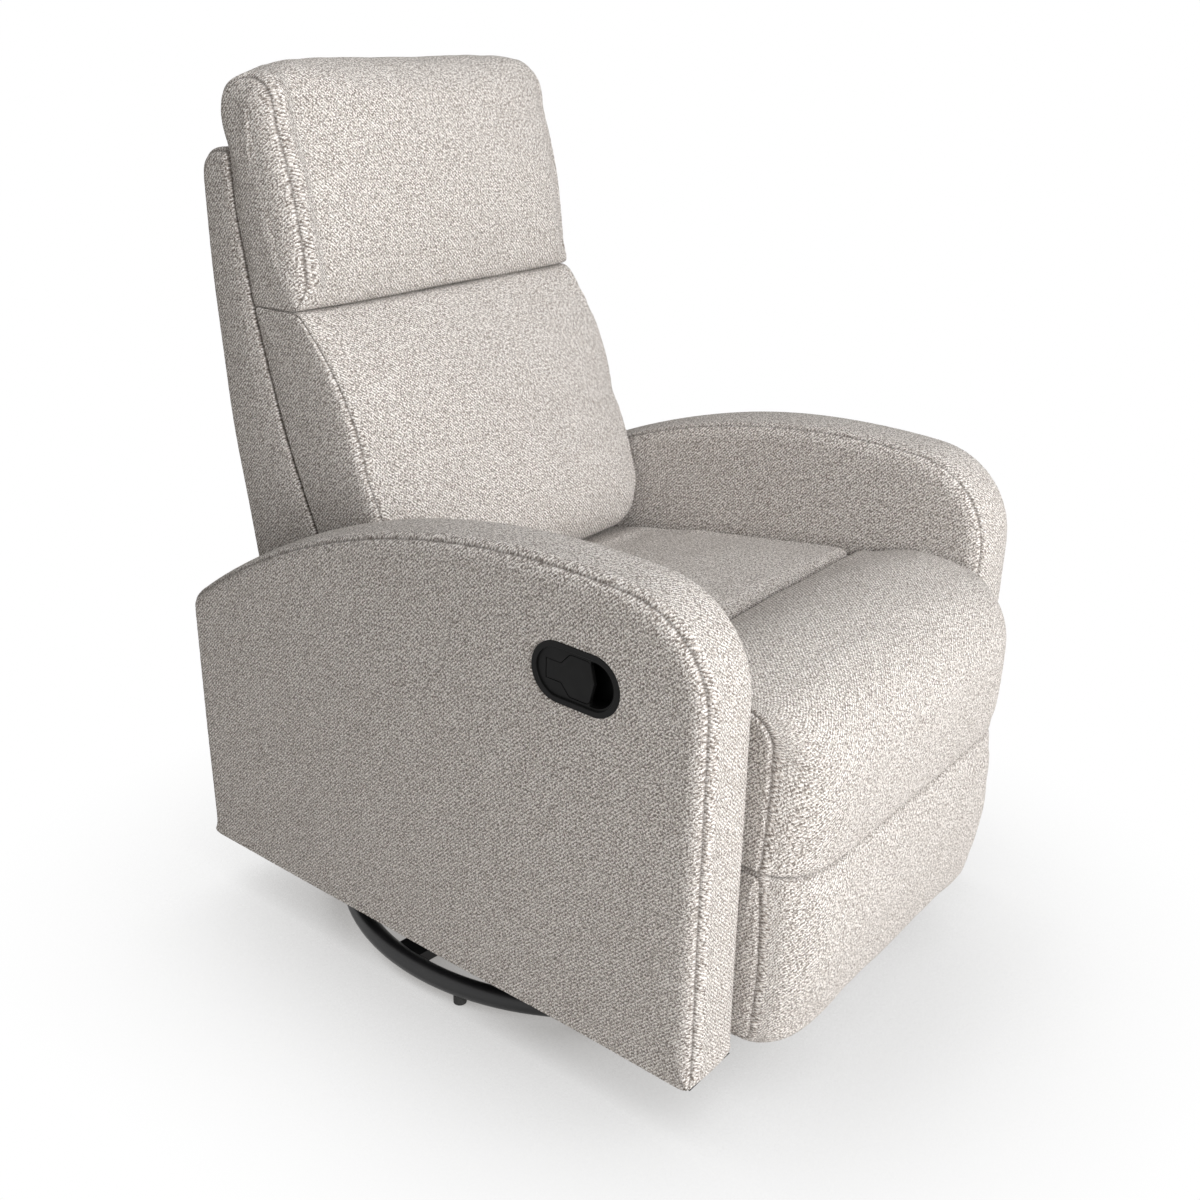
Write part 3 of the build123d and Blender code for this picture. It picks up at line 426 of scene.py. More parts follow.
class Cover:
    """A closed cover on a grid of stations across the chair and points round the side view."""

    def __init__(self, name, profile, middle, half, roll=0.012, round_width=0.7, crown=0.0,
                 side_crown=0.0015, inner_roll=None, pocket=None, seed=1, grain=1, tight=((1, 0),),
                 filled=False, seam_turn=40, tucks=(), edge_soft=0.0):
        self.name, self.seed, self.grain = name, seed, grain
        self.profile, self.round_width, self.crown = profile, round_width, crown
        self.middle, self.half, self.side_crown = middle, half, side_crown
        self.pocket, self.filled, self.tucks, self.edge_soft = pocket, filled, tucks, edge_soft
        self.seam_turn = math.radians(seam_turn)
        self.cover = bpy.context.scene.recliner_cover
        self.counts = counts_of(profile(0.0), self.cover.spacing)
        self.roll_at = self.roll_sizes(roll, inner_roll, tight)
        band = half - roll
        share = np.linspace(-1, 1, max(5, round(2 * band / self.cover.band_step)) + 1)[1:-1]
        band_x = band * ((1 + EDGE_PULL) * share - EDGE_PULL * share**3)
        turns = roll_turns(roll, self.seam_turn)
        self.turn = np.concatenate([-turns, [0], np.zeros(len(band_x)), [0], turns[::-1]])
        edge = np.ones(len(turns) + 1)
        sides = np.concatenate([-edge, 0 * band_x, edge])
        self.build_band(sides, np.concatenate([0 * edge, band_x, 0 * edge]))
        self.sides = self.side_panels()

    def loop_at(self, place):
        """The side view at a place across the chair, with its corners rounded."""
        pieces = [follow(segment, count) for segment, count in zip(self.profile(place), self.counts)]
        return soften(np.vstack(pieces), self.round_width)

    def roll_sizes(self, roll, inner_roll, tight):
        """Edge radius at each point of the side view: small on tight faces, larger under the inner edge."""
        normal = outward(self.loop_at(0.0))
        size = np.full(len(normal), roll)
        for facing in tight:
            size *= 1 - TIGHT_SHARE * np.clip(TIGHT_SPREAD * (normal @ np.array(facing)), 0, 1)
        both = {side: size.copy() for side in (-1, 1)}
        if inner_roll:
            under = np.clip(-normal[:, 1], 0, 1) ** 2
            both[inner_roll[0]] = size + (inner_roll[1] - size) * under
        return both

    def build_band(self, edge, flat_x):
        """Each station's side view, drawn in by its place across the chair and rolled over at the edge."""
        rows, normals = [], []
        for turn, side, x in zip(self.turn, edge, flat_x):
            size = self.roll_at[int(side)] if side else 0.0
            across = x if not side else side * (self.half - size + size * math.sin(abs(turn)))
            loop = self.loop_at(float(np.mean(np.abs(across)) / self.half))
            normal = outward(loop)
            rise = self.crown * (CROWN_LEVEL - (np.abs(across) / self.half) ** 2)
            lift = rise * (1 - np.clip(-normal[:, 1], 0, 1))
            inset = size * (1 - math.cos(turn)) - lift
            loop = loop - normal * np.broadcast_to(inset, len(loop))[:, None]
            if self.edge_soft and side:
                loop = soften(loop, 0.05 + self.edge_soft * (1 - math.cos(turn)))
            rows.append(np.column_stack([self.middle + np.broadcast_to(across, len(loop)), loop]))
            normals.append(np.column_stack([np.full(len(loop), math.sin(turn)), normal * math.cos(turn)]))
        self.grid, self.normal = np.array(rows), np.array(normals)
        step = np.linalg.norm(np.diff(self.grid, axis=0), axis=2).mean(axis=1)
        self.across = np.concatenate([[0], np.cumsum(step)])
        self.seams = [int(np.argmin(np.abs(self.turn + sign * self.seam_turn))) for sign in (1, -1)]
        self.seam = np.zeros(self.grid.shape[:2])
        middle_row = self.grid[len(self.grid) // 2]
        around = np.linalg.norm(np.roll(middle_row, -1, axis=0) - middle_row, axis=1)
        self.around = np.concatenate([[0], np.cumsum(around)])

    def side_panels(self):
        """Side panels: each edge ring drawn in towards its centre or a pocket, with a slight crown."""
        panels = []
        for side, ring in ((-1, self.grid[0]), (1, self.grid[-1])):
            holed = bool(self.pocket) and self.pocket["side"] == side
            goal = pocket_ring(ring[:, 1:], self.pocket) if holed else ring[:, 1:].mean(axis=0)
            if self.filled:
                goal = ring[:, 1:] - FILL_INSET * outward(ring[:, 1:])
            shares = np.append(SIDE_SHARES, 1.0) if holed else np.array([1.0]) if self.filled else SIDE_SHARES
            rings = [self.side_ring(side, ring, goal, share, holed) for share in shares]
            if holed:
                rings += [rings[-1] - [side * depth, 0, 0] for depth in self.pocket["depths"]]
            panels.append(np.array(rings))
        return panels

    def side_ring(self, side, ring, goal, share, holed):
        """One ring of a side panel: its waves fade inwards while the crown grows."""
        flat = ring[:, 1:] + share * (goal - ring[:, 1:])
        level = self.middle + side * self.half
        bulge = 0.0 if holed or self.filled else self.side_crown * (1 - (1 - share) ** 3)
        x = level + (ring[:, 0] - level) * (1 - share) ** 2 + side * bulge
        return np.column_stack([x, flat])

    def swell(self, free, cap):
        """Cloth under pressure, held at the seams and where it isn't free, each move kept under a cap."""
        mesh, rows = self.mesh(), len(self.sides[0])
        obj = bpy.data.objects.new("swelling", mesh)
        bpy.context.scene.collection.objects.link(obj)
        loose = np.zeros(self.grid.shape[:2], bool)
        loose[self.seams[0] + 1:self.seams[1]] = free(self.normal, self.grid)[self.seams[0] + 1:self.seams[1]]
        first = rows * self.grid.shape[1]
        kept = np.setdiff1d(np.arange(len(mesh.vertices)), first + np.flatnonzero(loose.ravel()))
        obj.vertex_groups.new(name="held").add(kept.tolist(), 1.0, "REPLACE")
        self.press(obj)
        before, after = np.zeros(len(mesh.vertices) * 3), np.zeros(len(mesh.vertices) * 3)
        mesh.vertices.foreach_get("co", before)
        shaped = obj.evaluated_get(bpy.context.evaluated_depsgraph_get())
        shaped.data.vertices.foreach_get("co", after)
        move = (after - before).reshape(-1, 3)[first:first + self.grid.shape[0] * self.grid.shape[1]]
        size = np.linalg.norm(move, axis=1)[:, None]
        move *= cap * np.tanh(size / cap) / np.maximum(size, 1e-9)
        self.grid = self.grid + move.reshape(self.grid.shape)
        bpy.context.scene.frame_set(1)
        bpy.data.objects.remove(obj)
        bpy.data.meshes.remove(mesh)

    def press(self, obj):
        """Runs the cloth for some frames with a little more cloth than the shape needs."""
        cloth = obj.modifiers.new("swell", "CLOTH")
        settings = cloth.settings
        settings.vertex_group_mass = "held"
        settings.use_pressure = True
        settings.uniform_pressure_force = self.cover.pressure
        settings.effector_weights.gravity = 0.0
        settings.shrink_min = -self.cover.slack
        settings.tension_stiffness = settings.compression_stiffness = CLOTH_STIFFNESS
        settings.bending_stiffness = 1.0
        cloth.collision_settings.use_collision = False
        for step in range(1, CLOTH_FRAMES + 1):
            bpy.context.scene.frame_set(step)

    def shake(self):
        """Seam grooves, gathers along the seams and slow waves, all along the surface normal."""
        dice = np.random.default_rng(self.seed)
        cover = self.cover
        along = self.around[:-1][None, :]
        move = np.zeros(self.grid.shape[:2])
        for index in self.seams:
            gap = np.abs(self.across - self.across[index])[:, None]
            # seam mark: where the cloth gets painted shade along this seam
            self.seam = np.maximum(self.seam, np.exp(-((gap / SEAM_SHADE_WIDTH) ** 2)))
            move -= cover.seam_depth * np.exp(-((gap / SEAM_WIDTH) ** 2))
            move += LIP_SHARE * cover.seam_depth * np.exp(-(((gap - LIP_GAP) / LIP_WIDTH) ** 2))
            phase = np.cumsum(dice.normal(0, 0.25, along.shape[1]))[None, :]
            gather = np.sin(2 * math.pi * along / GATHER_LENGTH + phase)
            strength = soften(dice.random((along.shape[1], 1)), 6.0)[:, 0][None, :]
            move += cover.pucker * gather * strength * np.exp(-gap / GATHER_REACH)
            for height, lean in self.tucks:
                move += self.tuck(height, lean, gap, along)
        wave = np.zeros_like(move)
        for _ in range(WAVE_COUNT):
            count = dice.integers(*WAVE_ROUNDS)
            length = dice.uniform(*WAVE_LENGTHS)
            turn = dice.uniform(0, 2 * math.pi, 2)
            ripple = np.sin(2 * math.pi * count * along / self.around[-1] + turn[0])
            wave += ripple * np.sin(2 * math.pi * self.across[:, None] / length + turn[1])
        move += cover.ease * wave / 3
        self.grid = self.grid + self.normal * move[:, :, None]
        self.sides = self.side_panels()

    def tuck(self, height, lean, gap, along):
        """A short crease from a seam into the band, a valley with a ridge on each side."""
        middle = len(self.grid) // 2
        off = np.abs(self.grid[middle, :, 2] - height) + np.where(self.normal[middle, :, 1] > -0.2, 1.0, 0.0)
        apart = along - along[0, np.argmin(off)] - lean * gap
        ridges = np.exp(-((np.abs(apart) - TUCK_RIDGE) / TUCK_WIDTH) ** 2)
        fold = 0.5 * ridges - np.exp(-((apart / TUCK_WIDTH) ** 2))
        inside = (np.abs(self.turn) <= self.seam_turn)[:, None]
        return self.cover.tuck_depth * inside * fold * np.exp(-((gap / TUCK_REACH) ** 2))

    def mesh(self):
        """The mesh of the grid and its side panels, with cloth coordinates in metres and a seam mark that the
        cloth turns into painted shade along the seams.
        """
        low, high = self.sides
        stack = np.concatenate([low[::-1], self.grid, high])
        rows, count = stack.shape[:2]
        points, last = stack.reshape(-1, 3), (rows - 1) * count
        by_order = self.filled or bool(self.pocket)
        quads = grid_quads(rows, count)
        caps = [face[::-1] for face in across_ring(stack[0], by_order)]
        caps += [[last + corner for corner in face] for face in across_ring(stack[-1], by_order)]
        mesh = bpy.data.meshes.new(self.name)
        mesh.from_pydata(points.tolist(), [], quads + caps)
        self.write_cloth(mesh, stack, len(low), caps)
        seam = np.zeros(len(points), np.float32)
        seam[len(low) * count:(len(low) + len(self.grid)) * count] = self.seam.ravel()
        mesh.attributes.new("seam", "FLOAT", "POINT").data.foreach_set("value", seam)
        return mesh

    def write_cloth(self, mesh, stack, low_rows, caps):
        """Cloth coordinates: length round and across on the band, the flat side view on the panels."""
        row = np.arange(len(stack) - 1)
        banded = (row >= low_rows + self.seams[0]) & (row < low_rows + self.seams[1])
        across = np.zeros(len(stack))
        across[low_rows:low_rows + len(self.across)] = self.across
        band = quad_corners(np.stack(np.meshgrid(self.around * self.grain, across), axis=-1))
        side = quad_corners(np.concatenate([stack, stack[:, :1]], axis=1)[:, :, 1:])
        parts = [np.where(banded[:, None, None, None], band, side).reshape(-1, 2)]
        parts += [stack.reshape(-1, 3)[cap, 1:] for cap in caps]
        layer = mesh.uv_layers.new(name="cloth")
        layer.data.foreach_set("uv", np.vstack(parts).astype(np.float32).ravel())


def grid_quads(rows, count):
    """Corner numbers of the quads between the closed rows of a grid."""
    corner = np.arange(rows - 1)[:, None] * count + np.arange(count)[None, :]
    beside = np.arange(rows - 1)[:, None] * count + (np.arange(count)[None, :] + 1) % count
    return np.stack([corner, beside, beside + count, corner + count], axis=-1).reshape(-1, 4).tolist()


def quad_corners(grid):
    """The values at the four corners of each quad of a grid."""
    return np.stack([grid[:-1, :-1], grid[:-1, 1:], grid[1:, 1:], grid[1:, :-1]], axis=2)


def across_ring(ring, by_order):
    """Faces that close a ring, joined across from its first point or from one end of its longest line."""
    count = len(ring)
    reach = np.linalg.norm(ring - np.roll(ring, -(count // 2), axis=0), axis=1)
    start = 0 if by_order else int(np.argmax(reach))
    first = np.arange((count - 1) // 2)
    quads = np.stack([first, first + 1, count - 2 - first, count - 1 - first], axis=1)
    faces = [dict.fromkeys(face) for face in quads.tolist() if len(set(face)) > 2]
    return [[(corner + start) % count for corner in face] for face in faces]


def pocket_ring(ring, pocket):
    """For each point of a ring, the point of a long oval at the same angle about its middle."""
    ray = ring - pocket["middle"]
    turn = pocket["turn"]
    axis = np.array([math.cos(turn), math.sin(turn)])
    local = np.stack([ray @ axis, ray @ np.array([-axis[1], axis[0]])], axis=1)
    unit = local / np.linalg.norm(local, axis=1)[:, None]
    radius, straight = pocket["radius"], pocket["straight"]
    flat = radius / np.maximum(np.abs(unit[:, 1]), 1e-6)
    on_flat = np.abs(unit[:, 0]) * flat <= straight
    along = np.abs(unit[:, 0])
    cap = straight * along + np.sqrt(np.maximum(radius**2 - (straight * unit[:, 1]) ** 2, 0))
    reach = np.where(on_flat, flat, cap)
    oval = unit * reach[:, None]
    return pocket["middle"] + oval[:, :1] * axis + oval[:, 1:] * np.array([-axis[1], axis[0]])


def make_object(mesh, material, smooth=1):
    """Makes an object of a mesh, smooth-shaded and subdivided, with its faces pointing outwards."""
    obj = bpy.data.objects.new(mesh.name, mesh)
    bpy.context.scene.collection.objects.link(obj)
    mesh.materials.append(material)
    point_outwards(mesh)
    mesh.polygons.foreach_set("use_smooth", np.ones(len(mesh.polygons), bool))
    mesh.update()
    if smooth:
        finer = obj.modifiers.new("finer", "SUBSURF")
        finer.levels = smooth
        finer.render_levels = smooth
    return obj


def point_outwards(mesh):
    """Turns the faces round when the signed volume under them is negative."""
    mesh.calc_loop_triangles()
    corners = np.zeros(len(mesh.loop_triangles) * 3, np.int32)
    mesh.loop_triangles.foreach_get("vertices", corners)
    points = np.zeros(len(mesh.vertices) * 3, np.float32)
    mesh.vertices.foreach_get("co", points)
    a, b, c = points.reshape(-1, 3)[corners.reshape(-1, 3)].transpose(1, 0, 2)
    if np.einsum("ij,ij->", a, np.cross(b, c)) < 0:
        mesh.flip_normals()


# Finishes


class Num:
    """A shader value; arithmetic on it adds Math nodes."""

    def __init__(self, nodes, socket):
        self.nodes, self.socket = nodes, socket

    def math(self, operation, *others):
        return self.nodes.number("ShaderNodeMath", {"operation": operation}, self, *others)

    def __add__(self, other):
        return self.math("ADD", other)

    def __sub__(self, other):
        return self.math("SUBTRACT", other)

    def __rsub__(self, other):
        return self.nodes.number("ShaderNodeMath", {"operation": "SUBTRACT"}, other, self)

    def __mul__(self, other):
        return self.math("MULTIPLY", other)

    __radd__ = __add__
    __rmul__ = __mul__

    def floor(self):
        return self.math("FLOOR")

    def fract(self):
        return self.math("FRACT")

    def sine(self):
        return self.math("SINE")

    def below(self, limit):
        return self.math("LESS_THAN", limit)

    def between(self, low, high):
        """0 below low, 1 above high and a smooth step from one to the other."""
        settings = {"interpolation_type": "SMOOTHSTEP"}
        return self.nodes.number("ShaderNodeMapRange", settings, self, low, high, 0.0, 1.0)


class Nodes:
    """A node tree and the ways to add to it."""

    def __init__(self, tree):
        self.tree = tree

    def node(self, kind, settings=None, *values, **named):
        """A node of a kind with its settings, then the values or links of its first and its named sockets."""
        node = self.tree.nodes.new(kind)
        for key, value in (settings or {}).items():
            setattr(node, key, value)
        for socket, value in zip([s for s in node.inputs if s.enabled], values):
            self.feed(socket, value)
        for name, value in named.items():
            self.feed(node.inputs[name], value)
        return node

    def feed(self, socket, value):
        """Links a value to a socket or sets a plain one."""
        if isinstance(value, Num):
            self.tree.links.new(value.socket, socket)
        elif isinstance(value, bpy.types.NodeSocket):
            self.tree.links.new(value, socket)
        elif socket.type == "RGBA" and len(value) == 3:
            socket.default_value = (*value, 1.0)
        else:
            socket.default_value = value

    def number(self, kind, settings, *values):
        return Num(self, self.node(kind, settings, *values).outputs[0])

    def mix(self, share, first, second):
        """A colour between two colours."""
        node = self.node("ShaderNodeMix", {"data_type": "RGBA"}, share, first, second)
        return next(socket for socket in node.outputs if socket.enabled)

    def noise(self, vector, scale, detail):
        """Noise about one half at so many blobs per metre."""
        return self.number("ShaderNodeTexNoise", None, vector, scale, detail)

    def place(self):
        return self.node("ShaderNodeTexCoord").outputs["Object"]

    def split(self, vector):
        outputs = self.node("ShaderNodeSeparateXYZ", None, vector).outputs
        return [Num(self, socket) for socket in outputs]

    def vector(self, x, y, z=0.0):
        return self.node("ShaderNodeCombineXYZ", None, x, y, z).outputs[0]

    def seen(self):
        """One for the camera's rays, reflections and rays through clear pieces, else zero."""
        path = self.node("ShaderNodeLightPath")
        return sum(Num(self, path.outputs[f"Is {ray} Ray"]) for ray in ("Camera", "Glossy", "Transmission"))


class Finish(Nodes):
    """A material and the nodes that make it."""

    def __init__(self, name):
        self.material = bpy.data.materials.new(name)
        self.material.use_nodes = True
        super().__init__(self.material.node_tree)
        self.shader = self.tree.nodes["Principled BSDF"]

    def bump(self, height, distance, strength):
        node = self.node("ShaderNodeBump", None, strength, distance, Height=height)
        self.feed(self.shader.inputs["Normal"], node.outputs[0])

    def set(self, **sockets):
        for name, value in sockets.items():
            self.feed(self.shader.inputs[name.replace("_", " ")], value)
        return self.material


def tweed_finish():
    """Twill of pale warp and greyer weft, some crossings swapped by chance, with dark flecks and patches, and
    painted shade along the seams.
    """
    props = bpy.context.scene.recliner_tweed
    finish = Finish("greige_tweed")
    cloth = finish.node("ShaderNodeUVMap", {"uv_map": "cloth"}).outputs[0]
    along, across, _ = finish.split(cloth)
    wander = finish.noise(cloth, 210.0, 0.0) - 0.5
    a = along * (1 / props.pitch) + wander * 0.9
    b = across * (1 / props.pitch) + wander * 0.7
    warp, weft = a.floor(), b.floor()
    chance = finish.number("ShaderNodeTexWhiteNoise", {"noise_dimensions": "2D"}, finish.vector(warp, weft))
    over = ((warp + weft) * 0.25 + chance * 0.45 + 0.01).fract().below(0.5)
    cloud = finish.noise(cloth, 400.0, 1.0)
    fleck = (chance * 0.5 + cloud * 1.8).between(1.05, 1.35)
    deep = finish.mix(fleck, props.mid_yarn[:], props.dark_yarn[:])
    pale = finish.mix(chance, props.light_yarn[:], (0.86, 0.825, 0.795))
    woven = finish.mix(over, deep, pale)
    patch = (chance * 0.3 + cloud).between(0.60, 0.76)
    tone = finish.mix(patch * 0.72, woven, (0.21, 0.180, 0.157))
    # painted shade: the cloth darkens along each seam, where shade falls into its groove
    seam = Num(finish, finish.node("ShaderNodeAttribute", {"attribute_name": "seam"}).outputs["Fac"])
    colour = finish.mix(seam * 0.6, tone, (0.10, 0.085, 0.075))
    warp_round = (a.fract() * math.pi).sine()
    weft_round = (b.fract() * math.pi).sine()
    height = over * warp_round + (1 - over) * weft_round * 0.8
    finish.bump(height - cloud * 1.2, props.relief, 1.0)
    rough = chance * 0.12 + 0.82
    return finish.set(
        Base_Color=colour, Roughness=rough, Sheen_Weight=props.sheen, Sheen_Roughness=0.5,
        Specular_IOR_Level=0.25,
    )


def black_steel_finish():
    """Satin black paint with fine orange peel and faint dust on it."""
    finish = Finish("satin_black_steel")
    place = finish.place()
    peel = finish.noise(place, 420.0, 2.0)
    dust = finish.noise(place, 22.0, 4.0)
    colour = finish.mix(dust.between(0.45, 0.8) * 0.35, (0.012, 0.012, 0.013), (0.035, 0.034, 0.033))
    finish.bump(peel, 0.0002, 0.35)
    return finish.set(Base_Color=colour, Roughness=dust * 0.22 + 0.26)


def zinc_finish():
    """Bright zinc plate with small soft spangles."""
    finish = Finish("zinc_plate")
    place = finish.place()
    cloud = finish.noise(place, 70.0, 3.0)
    scratch = finish.noise(place, 900.0, 1.0)
    colour = finish.mix(cloud.between(0.3, 0.7), (0.60, 0.60, 0.61), (0.47, 0.47, 0.48))
    finish.bump(scratch, 0.0001, 0.3)
    return finish.set(Base_Color=colour, Roughness=cloud * 0.3 + 0.18, Metallic=1.0)


def plywood_finish():
    """Birch plywood: long grain on the faces and thin dark lines between the plies."""
    finish = Finish("birch_plywood")
    place = finish.place()
    x, y, z = finish.split(place)
    grain = finish.noise(finish.vector(x * 60.0, y * 8.0, z * 60.0), 1.0, 5.0)
    plies = (x * 620.0).fract().below(0.18)
    wood = finish.mix(grain.between(0.3, 0.7), (0.55, 0.39, 0.23), (0.68, 0.52, 0.34))
    colour = finish.mix(plies * 0.5, wood, (0.30, 0.19, 0.10))
    finish.bump(grain, 0.0003, 0.4)
    return finish.set(Base_Color=colour, Roughness=grain * 0.25 + 0.5)


def plastic_finish():
    """Black moulded plastic with a fine spark-eroded grain."""
    finish = Finish("black_moulding")
    place = finish.place()
    grain = finish.noise(place, 1500.0, 2.0)
    patch = finish.noise(place, 60.0, 2.0)
    colour = finish.mix(patch.between(0.3, 0.8), (0.003, 0.003, 0.003), (0.006, 0.006, 0.006))
    finish.bump(grain, 0.00010, 0.3)
    return finish.set(Base_Color=colour, Roughness=grain * 0.16 + 0.36, Specular_IOR_Level=0.14)


def rubber_finish():
    """Dull black rubber."""
    finish = Finish("glide_rubber")
    place = finish.place()
    grain = finish.noise(place, 700.0, 3.0)
    colour = finish.mix(grain.between(0.3, 0.8), (0.018, 0.018, 0.018), (0.040, 0.039, 0.037))
    finish.bump(grain, 0.0003, 0.5)
    return finish.set(Base_Color=colour, Roughness=grain * 0.2 + 0.65)


def dust_cloth_finish():
    """Thin black non-woven cloth with a grid of bonded dots."""
    finish = Finish("black_dust_cloth")
    place = finish.place()
    x, y, _ = finish.split(place)
    dots = ((x * 2200.0).sine() * (y * 2200.0).sine()).between(0.2, 0.7)
    fibre = finish.noise(place, 500.0, 4.0)
    colour = finish.mix(fibre.between(0.3, 0.7), (0.012, 0.012, 0.012), (0.040, 0.039, 0.038))
    finish.bump(fibre - dots * 0.6, 0.0003, 0.6)
    return finish.set(Base_Color=colour, Roughness=0.85 - dots * 0.2)


def webbing_finish():
    """Black elastic webbing with lengthwise ribs and fine crosswise threads."""
    finish = Finish("elastic_webbing")
    place = finish.place()
    x, _, z = finish.split(place)
    rib = (z * 1800.0).sine()
    pick = (x * 2600.0).sine()
    colour = finish.mix((rib * pick).between(-0.4, 0.6), (0.015, 0.015, 0.015), (0.06, 0.058, 0.055))
    finish.bump(rib + pick * 0.5, 0.0004, 0.5)
    return finish.set(Base_Color=colour, Roughness=pick * 0.05 + 0.8)


# Pieces


def upholster(cover, body, node):
    """Puts a cover on its body in place of a CAD solid."""
    obj = make_object(cover.mesh(), bpy.data.materials["greige_tweed"])
    if node:
        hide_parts(node)
    if body:
        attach(obj, body)
    return obj


class RECLINER_OT_finishes(bpy.types.Operator):
    """Makes the materials and gives the frame's own pieces theirs"""

    bl_idname = "recliner.finishes"
    bl_label = "Finishes"

    def execute(self, context):
        tweed_finish()
        by_slot = {
            "black_steel": black_steel_finish(),
            "zinc_steel": zinc_finish(),
            "plywood": plywood_finish(),
            "black_plastic": plastic_finish(),
            "glide_rubber": rubber_finish(),
            "black_cloth": webbing_finish(),
            "upholstery": bpy.data.materials["greige_tweed"],
        }
        dust_cloth_finish()
        for part in frame["record"]["subparts"]:
            mesh = frame["nodes"][part["node"]].data
            mesh.materials.clear()
            mesh.materials.append(by_slot[part["material_slot"]])
        return {"FINISHED"}


class RECLINER_OT_arms(bpy.types.Operator):
    """Covers both arms and the panel between them at the rear"""

    bl_idname = "recliner.arms"
    bl_label = "Arms"

    def execute(self, context):
        crown = context.scene.recliner_cover.arm_crown
        half = (ARM_HIGH.x - ARM_LOW.x) / 2
        middle = (ARM_HIGH.x + ARM_LOW.x) / 2
        for name, side, hole in (("left", 1, None), ("right", -1, handle_pocket())):
            cover = Cover(
                f"arm_upholstery_{name}", arm_profile, side * middle, half, roll=0.019, round_width=1.2,
                crown=crown, side_crown=0.0, inner_roll=(-side, 0.028), pocket=hole, seed=11 + side,
                tight=((0, -1), (0.35, 0)), seam_turn=36,
            )
            cover.shake()
            upholster(cover, "chassis", f"arm_cover_{name}")
        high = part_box("rear_apron")[1]
        apron = Cover("apron_upholstery", apron_profile, 0.0, high.x - 0.0005, roll=0.005, seed=5, tight=())
        apron.shake()
        upholster(apron, "chassis", "rear_apron")
        return {"FINISHED"}


def handle_pocket():
    """The oval hole in the handle arm's outer panel, just under the rim of the cup."""
    middle = (CUP_LOW + CUP_HIGH) / 2
    return {
        "side": -1,
        "middle": np.array([middle.y, middle.z]),
        "turn": math.radians(1),
        "radius": 0.0310,
        "straight": 0.0225,
        "depths": (0.001, 0.004, 0.012, CUP_HIGH.x + ARM_HIGH.x),
    }


class RECLINER_OT_dust_covers(bpy.types.Operator):
    """Stretches the black cloth under each arm"""

    bl_idname = "recliner.dust_covers"
    bl_label = "Dust covers"

    def execute(self, context):
        for name in ("left", "right"):
            low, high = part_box(f"arm_trim_{name}")
            mesh = dust_cover(f"dust_cover_{name}", low, high)
            obj = make_object(mesh, bpy.data.materials["black_dust_cloth"], 0)
            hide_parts(f"arm_trim_{name}")
            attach(obj, "chassis")
        return {"FINISHED"}


def dust_cover(name, low, high):
    """A thin closed sheet: two grids a thickness apart, sagging by a product of two sines."""
    across, along, thickness, sag = 12, 70, 0.0009, 0.0011
    u, v = np.meshgrid(np.linspace(0, 1, across), np.linspace(0, 1, along))
    x, y = low.x + u * (high.x - low.x), low.y + v * (high.y - low.y)
    waves = 0.8 + 0.2 * np.sin(9 * math.pi * v)
    z = high.z - thickness - sag * np.sin(math.pi * u) * waves * np.sin(math.pi * v)
    loop_x = np.hstack([x, x[:, ::-1]])
    loop_z = np.hstack([z + thickness, z[:, ::-1]])
    stack = np.stack([loop_x, np.hstack([y, y]), loop_z], axis=2)
    rows, count = stack.shape[:2]
    turns = np.arange(count)
    ends = [turns[::-1].tolist(), ((rows - 1) * count + turns).tolist()]
    mesh = bpy.data.meshes.new(name)
    mesh.from_pydata(stack.reshape(-1, 3).tolist(), [], grid_quads(rows, count) + ends)
    return mesh


CUSHION_CAP, SEAT_CAP, PAD_CAP = 0.009, 0.006, 0.003


def dress(cover, node, body, free, cap=CUSHION_CAP):
    """Swells a cushion's free faces, sews its seams and puts it on its body."""
    cover.swell(free, cap)
    cover.shake()
    return upholster(cover, body, node)


class RECLINER_OT_back(bpy.types.Operator):
    """Covers the shell of the back and makes its two cushions"""

    bl_idname = "recliner.back"
    bl_label = "Back"

    def execute(self, context):
        shell = Cover("shell_upholstery", shell_profile, 0.0, CUSHION_HALF, roll=0.014, seed=21, tight=())
        shell.shake()
        upholster(shell, "back", "back_shell")
        half = CUSHION_HALF - 0.002
        lumbar = Cover(
            "lumbar_upholstery", lumbar_profile, 0.0, half, roll=0.030, side_crown=0.002, seed=22, grain=-1,
            tight=((1, 0), (0, 1)), seam_turn=30, tucks=((0.744, 0.5), (0.722, -0.3)),
        )
        dress(lumbar, "lumbar_cushion", "back", lambda n, p: (n[..., 1] < -0.2) & (p[..., 2] < 0.757))
        head = Cover(
            "head_upholstery", head_profile, 0.0, half, roll=0.030, side_crown=0.003, seed=23, grain=-1,
            tight=((1, 0), (0, -1)), seam_turn=30, tucks=((1.004, -0.6), (0.798, 0.4)), edge_soft=2.5,
        )
        dress(head, "head_cushion", "back", lambda n, p: (n[..., 1] < 0.3) & (p[..., 2] > 0.790))
        return {"FINISHED"}


